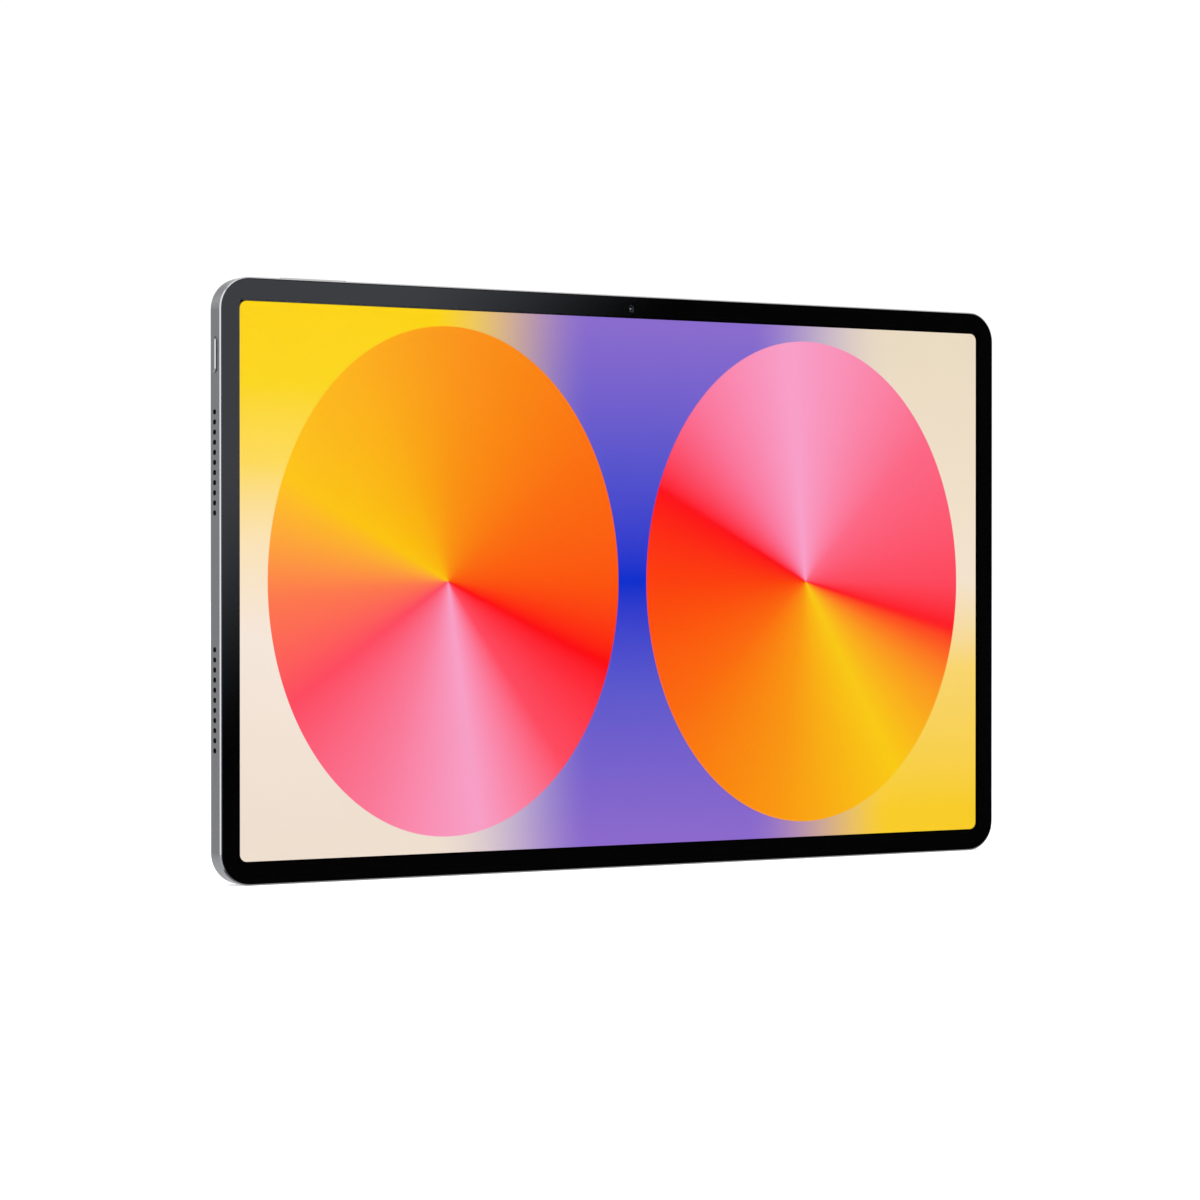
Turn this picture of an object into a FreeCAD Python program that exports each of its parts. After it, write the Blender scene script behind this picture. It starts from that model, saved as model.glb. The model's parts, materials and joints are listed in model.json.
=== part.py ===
"""Tablet computer, built as the separate pieces that it comes apart into.

The tablet stands upright on a long edge. X runs along the long edges, Z points up, and the
screen faces -Y. The origin is the middle of the bottom edge. A depth is a distance from the
front face of the cover glass towards the back.
"""
import FreeCAD, Part
import math
import os
import re
import Sketcher

V = FreeCAD.Vector

# Driving sizes in millimetres. Each name is an alias in the sheet called Sizes.
SIZES = {
    # body
    "body_w": 247.5,
    "body_h": 160.0,
    "body_t": 7.2,
    "corner_r": 8.5,
    "wall": 1.3,
    "back_t": 0.8,
    "back_r": 1.0,
    "front_c": 0.3,
    "rim": 0.45,
    "fit_gap": 0.01,
    "seat_gap": 0.05,
    "slide_gap": 0.1,
    # cover glass and display
    "glass_gap": 0.07,
    "glass_t": 0.55,
    "glass_c": 0.12,
    "bezel_side": 5.35,
    "bezel_end": 5.85,
    "view_r": 2.0,
    "ink_t": 0.05,
    "glue_t": 0.15,
    "glue_w": 2.6,
    "clear_glue_t": 0.1,
    "lcd_t": 0.7,
    "lcd_edge": 0.8,
    "frame_edge": 1.05,
    "frame_inset": 0.2,
    "prism_t": 0.25,
    "diffuser_t": 0.12,
    "guide_t": 0.5,
    "reflector_t": 0.1,
    "tray_t": 0.2,
    "led_w": 0.8,
    "web_t": 0.25,
    "web_gap": 0.03,
    "display_flex_w": 20.0,
    "display_plug_l": 12.0,
    "bend_gap": 0.3,
    "plug_gap": 1.0,
    "plug_w": 3.0,
    "plug_t": 0.6,
    # front camera and light sensor
    "selfie_down": 3.7,
    "selfie_r": 1.4,
    "selfie_base": 4.6,
    "selfie_t": 2.0,
    "selfie_well_r": 0.84,
    "selfie_well": 0.25,
    "peephole_r": 1.2,
    "sensor_right": 8.0,
    "sensor_w": 1.8,
    # side keys
    "power_down": 20.5,
    "power_l": 9.4,
    "rocker_in": 28.05,
    "rocker_l": 19.4,
    "key_w": 2.4,
    "key_out": 0.45,
    "key_c": 0.25,
    "flange_out": 0.5,
    "flange_t": 0.5,
    "key_travel": 0.3,
    "rocker_lift": 0.3,
    "rocker_dip": 0.2,
    "dome_off": 6.5,
    "dome_r": 1.3,
    "dome_h": 0.25,
    "switch_w": 3.4,
    "switch_t": 0.5,
    "flex_t": 0.2,
    "switch_back": 0.3,
    "bracket_t": 0.4,
    "bracket_edge": 1.0,
    "bracket_foot": 2.0,
    "fulcrum_r": 0.4,
    "fulcrum_l": 1.4,
    # speakers
    "speaker_w": 19.5,
    "ear_l": 4.4,
    "ear_w": 5.0,
    "ear_gap": 0.8,
    "dish_r": 7.0,
    "dish_t": 0.2,
    "hole_l": 2.1,
    "hole_w": 1.35,
    "hole_pitch": 2.65,
    "hole_count": 11,
    "hole_deep": 3.7,
    "mesh_t": 0.3,
    "mesh_edge": 0.35,
    "mic_right": 40.0,
    "mic_r": 0.45,
    "mic_deep": 3.9,
    "mic_w": 4.0,
    "mic_t": 1.6,
    "mic_front": 0.8,
    "mic_back": 1.2,
    "mic_port": 0.6,
    "mic_foot_w": 6.0,
    "mic_foot_t": 0.8,
    # card tray
    "card_down": 17.5,
    "card_face_l": 14.6,
    "card_face_w": 2.0,
    "card_w": 13.4,
    "card_t": 1.2,
    "card_len": 18.6,
    "card_rim": 1.0,
    "card_pin_r": 0.45,
    "card_pin_in": 1.8,
    "cage_t": 0.2,
    "cage_gap": 0.12,
    "cage_in": 0.4,
    "cage_foot": 2.0,
    # charging socket
    "usb_l": 8.94,
    "usb_w": 3.16,
    "usb_len": 8.6,
    "usb_t": 0.3,
    "usb_gap": 0.12,
    "tongue_w": 6.69,
    "tongue_t": 0.7,
    "tongue_in": 1.1,
    "tongue_root": 1.0,
    # boards, bosses and screws
    "column_gap": 1.0,
    "board_w": 57.0,
    "board_end": 16.0,
    "board_t": 0.8,
    "board_inset": 2.6,
    "socket_board_h": 16.0,
    "socket_screw_off": 5.5,
    "ribbon_w": 6.4,
    "ribbon_in": 8.0,
    "ribbon_out": 8.5,
    "boss_h": 1.0,
    "boss_r": 1.9,
    "head_r": 1.4,
    "head_h": 0.5,
    "shank_r": 0.7,
    "shield_t": 0.2,
    "shield_h": 1.3,
    # chips and cans, with offsets from the middle of the main board
    "chips_up": 24.0,
    "processor_left": 6.0,
    "processor_w": 15.0,
    "processor_t": 0.95,
    "storage_right": 10.0,
    "storage_w": 11.5,
    "storage_h": 13.0,
    "storage_t": 0.9,
    "can_right": 1.0,
    "can_w": 36.0,
    "can_h": 24.0,
    "radio_down": 30.0,
    "radio_right": 2.0,
    "radio_w": 9.0,
    "radio_t": 0.8,
    "radio_can_w": 22.0,
    "radio_can_h": 20.0,
    # battery
    "strip_low": 14.0,
    "strip_high": 24.0,
    "cell_gap": 1.5,
    "cell_r": 2.0,
    "swell_gap": 0.25,
    "tape_t": 0.1,
    "guard_l": 60.0,
    "guard_h": 6.0,
    "guard_gap": 0.3,
    "cable_w": 3.0,
    "cable_in": 8.0,
    "cable_edge": 0.2,
    # rear camera
    "camera_in": 22.75,
    "camera_down": 14.5,
    "bump_l": 30.0,
    "bump_w": 13.0,
    "bump_t": 0.9,
    "bump_c": 0.3,
    "window_l": 26.4,
    "window_w": 9.4,
    "window_t": 0.6,
    "window_step": 1.0,
    "lens_off": 6.5,
    "flash_off": 7.5,
    "camera_s": 9.4,
    "lens_r": 3.0,
    "lens_gap": 0.06,
    "lens_deep": 2.0,
    "lens_cup_r": 1.86,
    "lens_cup": 0.4,
    "focus_travel": 0.25,
    "flash_r": 2.0,
    "flash_base": 6.0,
    # antenna strips
    "strip_l": 60.0,
    "strip_w": 1.4,
    "strip_end": 48.75,
    "strip_in": 7.5,
}

# Depths of the display stack, from the front face of the glass.
INK = "glass_t"
GLUE = "(glass_t + ink_t)"
LEDGE = "(glass_t + ink_t + glue_t)"
LCD = "(glass_t + ink_t + clear_glue_t)"
PRISM = f"({LCD} + lcd_t)"
DIFFUSER = f"({PRISM} + prism_t)"
GUIDE = f"({DIFFUSER} + diffuser_t)"
REFLECTOR = f"({GUIDE} + guide_t)"
TRAY = f"({REFLECTOR} + reflector_t)"
WEB = f"({TRAY} + tray_t + web_gap)"
ROOM = f"({WEB} + web_t)"
FLOOR = "(body_t - back_t)"
BOARD_BACK = f"({FLOOR} - boss_h)"
BOARD_FRONT = f"({BOARD_BACK} - board_t)"
BUMP_TOP = "(body_t + bump_t)"
CARD_DEEP = f"({ROOM} + slide_gap + cage_t + cage_gap + card_t / 2)"
USB_DEEP = f"({ROOM} + slide_gap + usb_w / 2)"

# Heights and sideways places.
MIDDLE = "(body_h / 2)"
VIEW_W = "(body_w - 2 * (rim + bezel_side))"
VIEW_H = "(body_h - 2 * (rim + bezel_end))"
POWER_Z = "(body_h - power_down)"
ROCKER_X = "(rocker_in - body_w / 2)"
STRIP_X = "(body_w / 2 - strip_end)"
CARD_Z = "(body_h - card_down)"
SELFIE_Z = "(body_h - selfie_down)"
CAMERA_X = "(camera_in - body_w / 2)"
CAMERA_Z = "(body_h - camera_down)"
LENS_X = f"({CAMERA_X} - lens_off)"
FLASH_X = f"({CAMERA_X} + flash_off)"
COLUMN = "(body_w / 2 - wall - mesh_t - seat_gap - speaker_w - column_gap)"
BOARD_LEFT = f"({COLUMN} - board_w)"
BOARD_X = f"({COLUMN} - board_w / 2)"
BOARD_LOW = "board_end"
BOARD_HIGH = "(body_h - board_end)"
SPEAKER_X = "(body_w / 2 - wall - mesh_t - seat_gap - speaker_w / 2)"
SPEAKER_LOW = "(socket_board_h / 2 + ear_gap + ear_l)"
SPEAKER_HIGH = "(body_h / 2 - card_down - card_face_l / 2 - 2 * ear_gap - ear_l)"
SPEAKER_L = f"({SPEAKER_HIGH} - {SPEAKER_LOW})"
SPEAKER_UP = f"(({SPEAKER_HIGH} + {SPEAKER_LOW}) / 2)"
EAR_OUT = f"({SPEAKER_L} / 2 + ear_l / 2)"
USB_BACK = "(body_w / 2 - usb_len)"
CELL_W = f"(({BOARD_LEFT} - cell_gap + {COLUMN} - cell_gap) / 2)"
CELL_LEFT_X = f"(-{COLUMN} + {CELL_W} / 2)"
CELL_RIGHT_X = f"({BOARD_LEFT} - cell_gap - {CELL_W} / 2)"
CELL_TOP = "(body_h - strip_high)"
CELL_Z = f"((strip_low + {CELL_TOP}) / 2)"
SEAM_X = f"(-{COLUMN} + {CELL_W} + cell_gap / 2)"

SIDES = {"left": "-1", "right": "1"}
LEVELS = {"upper": "1", "lower": "-1"}

doc = FreeCAD.newDocument("Tablet")
sheet = doc.addObject("Spreadsheet::Sheet", "Sizes")
pieces = []


def fill_sheet():
    """Write every driving size to the sheet, with its name beside it."""
    for row, (name, size) in enumerate(SIZES.items(), 1):
        sheet.set(f"A{row}", str(size))
        sheet.setAlias(f"A{row}", name)
        sheet.set(f"B{row}", name)
    doc.recompute()


def bind(item, prop, formula):
    """Tie a property to a formula of named sizes."""
    text = re.sub(r"[a-z]\w*", lambda word: "Sizes." + word.group(), formula)
    item.setExpression(prop, text)


def depth(formula):
    """Turn a depth into a place along Y."""
    return f"({formula}) - body_t / 2"


def piece(item, label):
    """Name an object and keep it as a sub-part."""
    item.Label = label
    pieces.append(item)
    return item


# --- sketches -----------------------------------------------------------------------------

def sketch_on(body, name, role, at=("0", "0", "0"), turn=0):
    """Attach a new sketch to one of its body's origin planes."""
    plane = next(p for p in body.Origin.OriginFeatures if p.Role == role)
    sketch = body.newObject("Sketcher::SketchObject", name)
    sketch.AttachmentSupport = [(plane, "")]
    sketch.MapMode = "FlatFace"
    sketch.AttachmentOffset = FreeCAD.Placement(V(), FreeCAD.Rotation(V(0, 0, 1), turn))
    for axis, formula in zip("xyz", at):
        bind(sketch, "AttachmentOffset.Base." + axis, formula)
    return sketch


def dimension(sketch, sizes):
    """Add dimensional constraints and tie each to its formula."""
    for name, constraint, formula in sizes:
        index = sketch.addConstraint(constraint)
        sketch.renameConstraint(index, name)
        bind(sketch, "Constraints." + name, formula)
    return sketch


def rounded(sketch, width, height, corner):
    """Draw a rectangle with rounded corners, centred on the sketch."""
    half_w, half_h, radius = 10.0, 6.0, 2.0
    quarter = math.pi / 2

    def corner_arc(x_sign, z_sign, turn):
        centre = V(x_sign * (half_w - radius), z_sign * (half_h - radius), 0)
        circle = Part.Circle(centre, V(0, 0, 1), radius)
        return Part.ArcOfCircle(circle, turn * quarter, (turn + 1) * quarter)

    def side(x_sign, z_sign, x_next, z_next, flat):
        x_trim = radius if flat else 0.0
        z_trim = 0.0 if flat else radius
        start = V(x_sign * (half_w - x_trim), z_sign * (half_h - z_trim), 0)
        end = V(x_next * (half_w - x_trim), z_next * (half_h - z_trim), 0)
        return Part.LineSegment(start, end)

    sketch.addGeometry([
        side(-1, -1, 1, -1, True), corner_arc(1, -1, 3),
        side(1, -1, 1, 1, False), corner_arc(1, 1, 0),
        side(1, 1, -1, 1, True), corner_arc(-1, 1, 1),
        side(-1, 1, -1, -1, False), corner_arc(-1, -1, 2),
    ], False)
    rule = Sketcher.Constraint
    rules = [rule("Tangent", edge, 2, (edge + 1) % 8, 1) for edge in range(8)]
    rules += [rule("Horizontal", 0), rule("Horizontal", 4), rule("Vertical", 2), rule("Vertical", 6)]
    rules += [rule("Equal", 1, 3), rule("Equal", 3, 5), rule("Equal", 5, 7)]
    rules += [rule("Symmetric", 1, 3, 5, 3, -1, 1)]
    sketch.addConstraint(rules)
    return dimension(sketch, [
        ("Corner", rule("Radius", 1, radius), corner),
        ("Width", rule("DistanceX", 6, 2, 2, 1, 2 * half_w), width),
        ("Height", rule("DistanceY", 0, 1, 4, 2, 2 * half_h), height),
    ])


def oblong(sketch, length, width):
    """Draw a slot with round ends, centred on the sketch, along its X."""
    reach, radius = 6.0, 1.5
    right = Part.Circle(V(reach, 0, 0), V(0, 0, 1), radius)
    left = Part.Circle(V(-reach, 0, 0), V(0, 0, 1), radius)
    quarter = math.pi / 2
    sketch.addGeometry([
        Part.LineSegment(V(-reach, -radius, 0), V(reach, -radius, 0)),
        Part.ArcOfCircle(right, -quarter, quarter),
        Part.LineSegment(V(reach, radius, 0), V(-reach, radius, 0)),
        Part.ArcOfCircle(left, quarter, 3 * quarter),
    ], False)
    rule = Sketcher.Constraint
    rules = [rule("Coincident", edge, 2, (edge + 1) % 4, 1) for edge in range(4)]
    rules += [rule("Vertical", arc, 3, arc, end) for arc in (1, 3) for end in (1, 2)]
    rules += [rule("Horizontal", 0), rule("Horizontal", 2), rule("Symmetric", 1, 3, 3, 3, -1, 1)]
    sketch.addConstraint(rules)
    return dimension(sketch, [
        ("Radius", rule("Radius", 1, radius), f"({width}) / 2"),
        ("Reach", rule("DistanceX", 3, 3, 1, 3, 2 * reach), f"({length}) - ({width})"),
    ])


def disc(sketch, radius):
    """Draw a circle centred on the sketch."""
    sketch.addGeometry([Part.Circle(V(0, 0, 0), V(0, 0, 1), 1.0)], False)
    rule = Sketcher.Constraint
    sketch.addConstraint([rule("Coincident", 0, 3, -1, 1)])
    return dimension(sketch, [("Radius", rule("Radius", 0, 1.0), radius)])


# --- features -----------------------------------------------------------------------------

def new_body(label, x="0", y="0", z="0", rotation=None):
    """Start a body and place it in the tablet's frame."""
    body = doc.addObject("PartDesign::Body", label)
    if rotation:
        body.Placement = FreeCAD.Placement(V(), rotation)
    for axis, formula in zip("xyz", (x, y, z)):
        bind(body, "Placement.Base." + axis, formula)
    return body


def pad(body, sketch, length, name="pad"):
    """Extrude a sketch along its normal."""
    feature = body.newObject("PartDesign::Pad", name)
    feature.Profile = sketch
    bind(feature, "Length", length)
    return feature


def pocket(body, sketch, length, name="pocket", forward=False):
    """Cut a sketch out of the body, right through if no length is given."""
    before = body.Shape.Volume
    feature = body.newObject("PartDesign::Pocket", name)
    feature.Profile = sketch
    feature.Reversed = forward
    if length:
        bind(feature, "Length", length)
    else:
        feature.Type = "ThroughAll"
        feature.Midplane = True
    doc.recompute()
    if body.Shape.Volume > before - 1e-6:
        raise RuntimeError(f"{body.Label}: {name} cuts nothing")
    return feature


def edge_names(feature, wanted):
    """Names of a feature's edges for which wanted(edge) is true."""
    edges = feature.Shape.Edges
    return [f"Edge{number}" for number, edge in enumerate(edges, 1) if wanted(edge)]


def on_plane(axis, value):
    """Test for edges that lie wholly in the plane where a coordinate has one value."""
    def test(edge):
        box = edge.BoundBox
        low = getattr(box, axis + "Min")
        high = getattr(box, axis + "Max")
        return abs(low - value) < 1e-5 and abs(high - value) < 1e-5
    return test


def dress(body, kind, names, size, prop):
    """Fillet or chamfer the named edges of the body's last feature."""
    base = body.Tip
    feature = body.newObject("PartDesign::" + kind, kind.lower())
    feature.Base = (base, names)
    bind(feature, prop, size)
    doc.recompute()
    return feature


def slab(label, width, height, corner, front, back, x="0", z=MIDDLE):
    """A flat sheet with rounded corners, between two depths."""
    body = new_body(label, x, depth(back), z)
    outline = rounded(sketch_on(body, "outline", "XZ_Plane"), width, height, corner)
    pad(body, outline, f"({back}) - ({front})")
    doc.recompute()
    return body


def cut_window(body, width, height, corner):
    """Cut a rounded window right through a slab."""
    window = rounded(sketch_on(body, "window", "XZ_Plane"), width, height, corner)
    return pocket(body, window, None, "window_cut")


# --- primitives ---------------------------------------------------------------------------

def block(name, x, z, front, back):
    """A box between two places along X and Z and two depths."""
    box = doc.addObject("Part::Box", name)
    bind(box, "Length", f"({x[1]}) - ({x[0]})")
    bind(box, "Width", f"({back}) - ({front})")
    bind(box, "Height", f"({z[1]}) - ({z[0]})")
    bind(box, "Placement.Base.x", x[0])
    bind(box, "Placement.Base.y", depth(front))
    bind(box, "Placement.Base.z", z[0])
    return box


def about(centre, half):
    """Two places at the same distance each side of a centre."""
    return (f"{centre} - ({half})", f"{centre} + ({half})")


def rod(name, x, z, radius, front, back):
    """A cylinder along Y between two depths."""
    cylinder = doc.addObject("Part::Cylinder", name)
    cylinder.Placement = FreeCAD.Placement(V(), FreeCAD.Rotation(V(1, 0, 0), -90))
    bind(cylinder, "Radius", radius)
    bind(cylinder, "Height", f"({back}) - ({front})")
    bind(cylinder, "Placement.Base.x", x)
    bind(cylinder, "Placement.Base.y", depth(front))
    bind(cylinder, "Placement.Base.z", z)
    return cylinder


def side_rod(name, side, centre, radius, low, high, deep):
    """A cylinder that stands out of an edge, from low to high outwards of the edge line."""
    cylinder = doc.addObject("Part::Cylinder", name)
    turn = {"left": -90, "right": 90, "top": 0}[side]
    cylinder.Placement = FreeCAD.Placement(V(), FreeCAD.Rotation(V(0, 1, 0), turn))
    bind(cylinder, "Radius", radius)
    bind(cylinder, "Height", f"({high}) - ({low})")
    start = {
        "left": (f"-(body_w / 2) - ({low})", centre),
        "right": (f"body_w / 2 + ({low})", centre),
        "top": (centre, f"body_h + ({low})"),
    }[side]
    bind(cylinder, "Placement.Base.x", start[0])
    bind(cylinder, "Placement.Base.y", depth(deep))
    bind(cylinder, "Placement.Base.z", start[1])
    return cylinder


def edge_block(name, side, along, low, high, front, back):
    """A box by an edge, from low to high outwards of the edge line."""
    if side == "left":
        return block(name, (f"-(body_w / 2) - ({high})", f"-(body_w / 2) - ({low})"), along, front, back)
    if side == "right":
        return block(name, (f"body_w / 2 + ({low})", f"body_w / 2 + ({high})"), along, front, back)
    return block(name, along, (f"body_h + ({low})", f"body_h + ({high})"), front, back)


def fuse(name, parts):
    """Join parts into one."""
    item = doc.addObject("Part::MultiFuse", name)
    item.Shapes = parts
    return item


def cut(name, base, tools):
    """Take tools away from a base."""
    item = doc.addObject("Part::Cut", name)
    item.Base = base
    item.Tool = tools[0] if len(tools) == 1 else fuse(name + "_tools", tools)
    return item


def group(name, parts):
    """Keep separate solids together as one sub-part."""
    item = doc.addObject("Part::Compound", name)
    item.Links = parts
    return item


# --- places shared by several pieces ------------------------------------------------------

def speaker_places():
    """Each speaker: its name, and the signs of its side and level."""
    return [
        (f"{side}_{level}", SIDES[side], LEVELS[level])
        for side in SIDES
        for level in LEVELS
    ]


def board_screw_places():
    """Screws of the main board and the socket board."""
    near = f"{BOARD_LEFT} + board_inset"
    far = f"{COLUMN} - board_inset"
    places = [(x, z) for x in (near, far) for z in
              (f"{BOARD_LOW} + board_inset", f"{BOARD_HIGH} - board_inset")]
    socket_x = f"{COLUMN} + column_gap + board_inset"
    places += [(socket_x, f"{MIDDLE} + {sign} * socket_screw_off") for sign in ("1", "-1")]
    return places


def speaker_screw_places():
    """Screws of the speaker ears."""
    places = []
    for _, side, level in speaker_places():
        for end in ("1", "-1"):
            places.append((
                f"{side} * {SPEAKER_X}",
                f"{MIDDLE} + {level} * ({SPEAKER_UP} + {end} * {EAR_OUT})",
            ))
    return places


# --- housing ------------------------------------------------------------------------------

def shell_blank():
    """The aluminium tub before the bosses: outline, recess, cavity and openings."""
    shell = new_body("shell", z=MIDDLE)
    outline = rounded(
        sketch_on(shell, "outline", "XZ_Plane", ("0", "0", "-body_t / 2")),
        "body_w", "body_h", "corner_r")
    pad(shell, outline, "body_t")
    doc.recompute()
    half_t = SIZES["body_t"] / 2
    dress(shell, "Fillet", edge_names(shell.Tip, on_plane("Y", half_t)), "back_r", "Radius")
    dress(shell, "Chamfer", edge_names(shell.Tip, on_plane("Y", -half_t)), "front_c", "Size")
    front = ("0", "0", "body_t / 2")
    recess = rounded(
        sketch_on(shell, "recess", "XZ_Plane", front),
        "body_w - 2 * (rim - glass_gap)", "body_h - 2 * (rim - glass_gap)",
        "corner_r - rim + glass_gap")
    pocket(shell, recess, LEDGE, "recess_cut")
    cavity = rounded(
        sketch_on(shell, "cavity", "XZ_Plane", front),
        "body_w - 2 * wall", "body_h - 2 * wall", "corner_r - wall")
    pocket(shell, cavity, FLOOR, "cavity_cut")
    cut_speaker_holes(shell)
    cut_edge_slots(shell)
    cut_back_openings(shell)
    return shell


def cut_speaker_holes(shell):
    """A row of short slots in front of each speaker, through both short sides."""
    first = f"{SPEAKER_UP} - (hole_count - 1) * hole_pitch / 2"
    hole = sketch_on(shell, "speaker_hole", "YZ_Plane", (depth("hole_deep"), first, "0"))
    oblong(hole, "hole_l", "hole_w")
    single = pocket(shell, hole, None, "speaker_hole_cut")
    row = shell.newObject("PartDesign::LinearPattern", "hole_row")
    upright = next(p for p in shell.Origin.OriginFeatures if p.Role == "Z_Axis")
    row.Direction = (upright, [""])
    bind(row, "Length", "(hole_count - 1) * hole_pitch")
    bind(row, "Occurrences", "hole_count")
    level = next(p for p in shell.Origin.OriginFeatures if p.Role == "XY_Plane")
    mirror = shell.newObject("PartDesign::Mirrored", "hole_mirror")
    mirror.MirrorPlane = (level, [""])
    grilles = shell.newObject("PartDesign::MultiTransform", "grilles")
    grilles.Originals = [single]
    grilles.Transformations = [row, mirror]
    shell.Tip = grilles
    doc.recompute()


def cut_edge_slots(shell):
    """Openings for the keys, the card tray, the charging socket and the microphone."""
    keyhole = "key_w + 2 * slide_gap"
    reach = "wall + slide_gap"
    power = sketch_on(shell, "power_slot", "YZ_Plane",
                      (depth("body_t / 2"), f"{POWER_Z} - {MIDDLE}", "-body_w / 2"), turn=90)
    oblong(power, "power_l + 2 * slide_gap", keyhole)
    pocket(shell, power, reach, "power_slot_cut", forward=True)
    rocker = sketch_on(shell, "rocker_slot", "XY_Plane",
                       (ROCKER_X, depth("body_t / 2"), "body_h / 2"))
    oblong(rocker, "rocker_l + 3 * slide_gap", keyhole)
    pocket(shell, rocker, reach, "rocker_slot_cut")
    card = sketch_on(shell, "card_slot", "YZ_Plane",
                     (depth(CARD_DEEP), f"{CARD_Z} - {MIDDLE}", "body_w / 2"), turn=90)
    oblong(card, "card_face_l + 2 * seat_gap", "card_face_w + 2 * seat_gap")
    pocket(shell, card, reach, "card_slot_cut")
    socket = sketch_on(shell, "usb_slot", "YZ_Plane",
                       (depth(USB_DEEP), "0", "body_w / 2"), turn=90)
    oblong(socket, "usb_l + 2 * usb_gap", "usb_w + 2 * usb_gap")
    pocket(shell, socket, reach, "usb_slot_cut")
    mic = disc(sketch_on(shell, "mic_hole", "XY_Plane",
                         ("mic_right", depth("mic_deep"), "body_h / 2")), "mic_r")
    pocket(shell, mic, reach, "mic_hole_cut")


def cut_back_openings(shell):
    """The camera opening and the slots of the antenna strips, in the back."""
    behind = "-body_t / 2"
    camera = sketch_on(shell, "camera_hole", "XZ_Plane",
                       (CAMERA_X, f"{CAMERA_Z} - {MIDDLE}", behind))
    oblong(camera, "window_l - 2 * window_step", "window_w - 2 * window_step")
    pocket(shell, camera, "2 * back_t", "camera_hole_cut", forward=True)
    for level, sign in LEVELS.items():
        slot = sketch_on(shell, f"strip_slot_{level}", "XZ_Plane",
                         (STRIP_X, f"{sign} * (body_h / 2 - strip_in)", behind))
        oblong(slot, "strip_l + 2 * fit_gap", "strip_w + 2 * fit_gap")
        pocket(shell, slot, "2 * back_t", f"strip_slot_{level}_cut", forward=True)


def rear_housing():
    """The tub with its screw bosses."""
    places = board_screw_places() + speaker_screw_places()
    bosses = [
        rod(f"boss_{number}", x, z, "boss_r", BOARD_BACK, f"{FLOOR} + back_t / 2")
        for number, (x, z) in enumerate(places)
    ]
    holes = [
        rod(f"boss_hole_{number}", x, z, "shank_r + seat_gap", f"{BOARD_BACK} - seat_gap", FLOOR)
        for number, (x, z) in enumerate(places)
    ]
    body = fuse("tub_with_bosses", [shell_blank()] + bosses)
    piece(cut("rear_housing_cut", body, holes), "rear_housing")


def antenna_strips():
    """Plastic strips that let radio through the metal back, and the antennas behind them."""
    for level, sign in LEVELS.items():
        z = f"{MIDDLE} + {sign} * (body_h / 2 - strip_in)"
        strip = new_body(f"strip_{level}", STRIP_X, depth("body_t"), z)
        pad(strip, oblong(sketch_on(strip, "outline", "XZ_Plane"), "strip_l", "strip_w"), "back_t")
        piece(strip, f"antenna_strip_{level}")
        near = "wall + slide_gap"
        far = "strip_in + strip_w / 2"
        film = block(f"film_{level}", about(STRIP_X, "strip_l / 2"),
                     about(f"{MIDDLE} + {sign} * (body_h / 2 - ({near} + {far}) / 2)",
                           f"({far} - ({near})) / 2"), f"{FLOOR} - flex_t", FLOOR)
        piece(film, f"antenna_{level}")


# --- cover glass and display --------------------------------------------------------------

def cover_glass():
    """The front glass, flush with the rim, with a fine chamfer."""
    glass = slab("glass", "body_w - 2 * rim", "body_h - 2 * rim", "corner_r - rim", "0", "glass_t")
    front = edge_names(glass.Tip, on_plane("Y", -SIZES["glass_t"]))
    dress(glass, "Chamfer", front, "glass_c", "Size")
    piece(glass, "cover_glass")


def lens_notches(name, front, back):
    """Room for the front camera's barrel and the light sensor, open towards the display."""
    low = f"{MIDDLE} + {VIEW_H} / 2"
    return [
        block(f"{name}_notch_camera", about("0", "selfie_r + slide_gap"),
              (low, f"{SELFIE_Z} + selfie_r + slide_gap"), front, back),
        block(f"{name}_notch_sensor", about("sensor_right", "sensor_w / 2 + slide_gap"),
              (low, f"{SELFIE_Z} + sensor_w / 2 + slide_gap"), front, back),
    ]


def bezel_mask():
    """The black print behind the glass, with windows for the display and the camera."""
    mask = slab("mask", "body_w - 2 * (rim + glue_t)", "body_h - 2 * (rim + glue_t)",
                "corner_r - rim - glue_t", INK, GLUE)
    cut_window(mask, VIEW_W, VIEW_H, "view_r")
    peephole = disc(sketch_on(mask, "peephole", "XZ_Plane",
                              ("0", f"{SELFIE_Z} - {MIDDLE}", "0")), "peephole_r")
    pocket(mask, peephole, None, "peephole_cut")
    piece(mask, "bezel_mask")


def frame_adhesive():
    """The foam tape that bonds the glass to the ledge and the carrier."""
    width = "body_w - 2 * (rim + glue_t)"
    height = "body_h - 2 * (rim + glue_t)"
    tape = slab("tape", width, height, "corner_r - rim - glue_t", GLUE, LEDGE)
    cut_window(tape, f"{width} - 2 * glue_w", f"{height} - 2 * glue_w", "corner_r - rim - glue_w")
    through = (f"{GLUE} - slide_gap", f"{LEDGE} + slide_gap")
    piece(cut("tape_cut", tape, lens_notches("tape", *through)), "frame_adhesive")


def optical_adhesive():
    """The clear bond between the glass and the panel, stepped into the print's window."""
    bond = slab("bond", f"{VIEW_W} + 2 * lcd_edge", f"{VIEW_H} + 2 * lcd_edge", "view_r", GLUE, LCD)
    step = rounded(sketch_on(bond, "step", "XZ_Plane", ("0", "0", "clear_glue_t")),
                   f"{VIEW_W} - 2 * fit_gap", f"{VIEW_H} - 2 * fit_gap", "view_r")
    pad(bond, step, "ink_t", "step_pad")
    piece(bond, "optical_adhesive")


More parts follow.
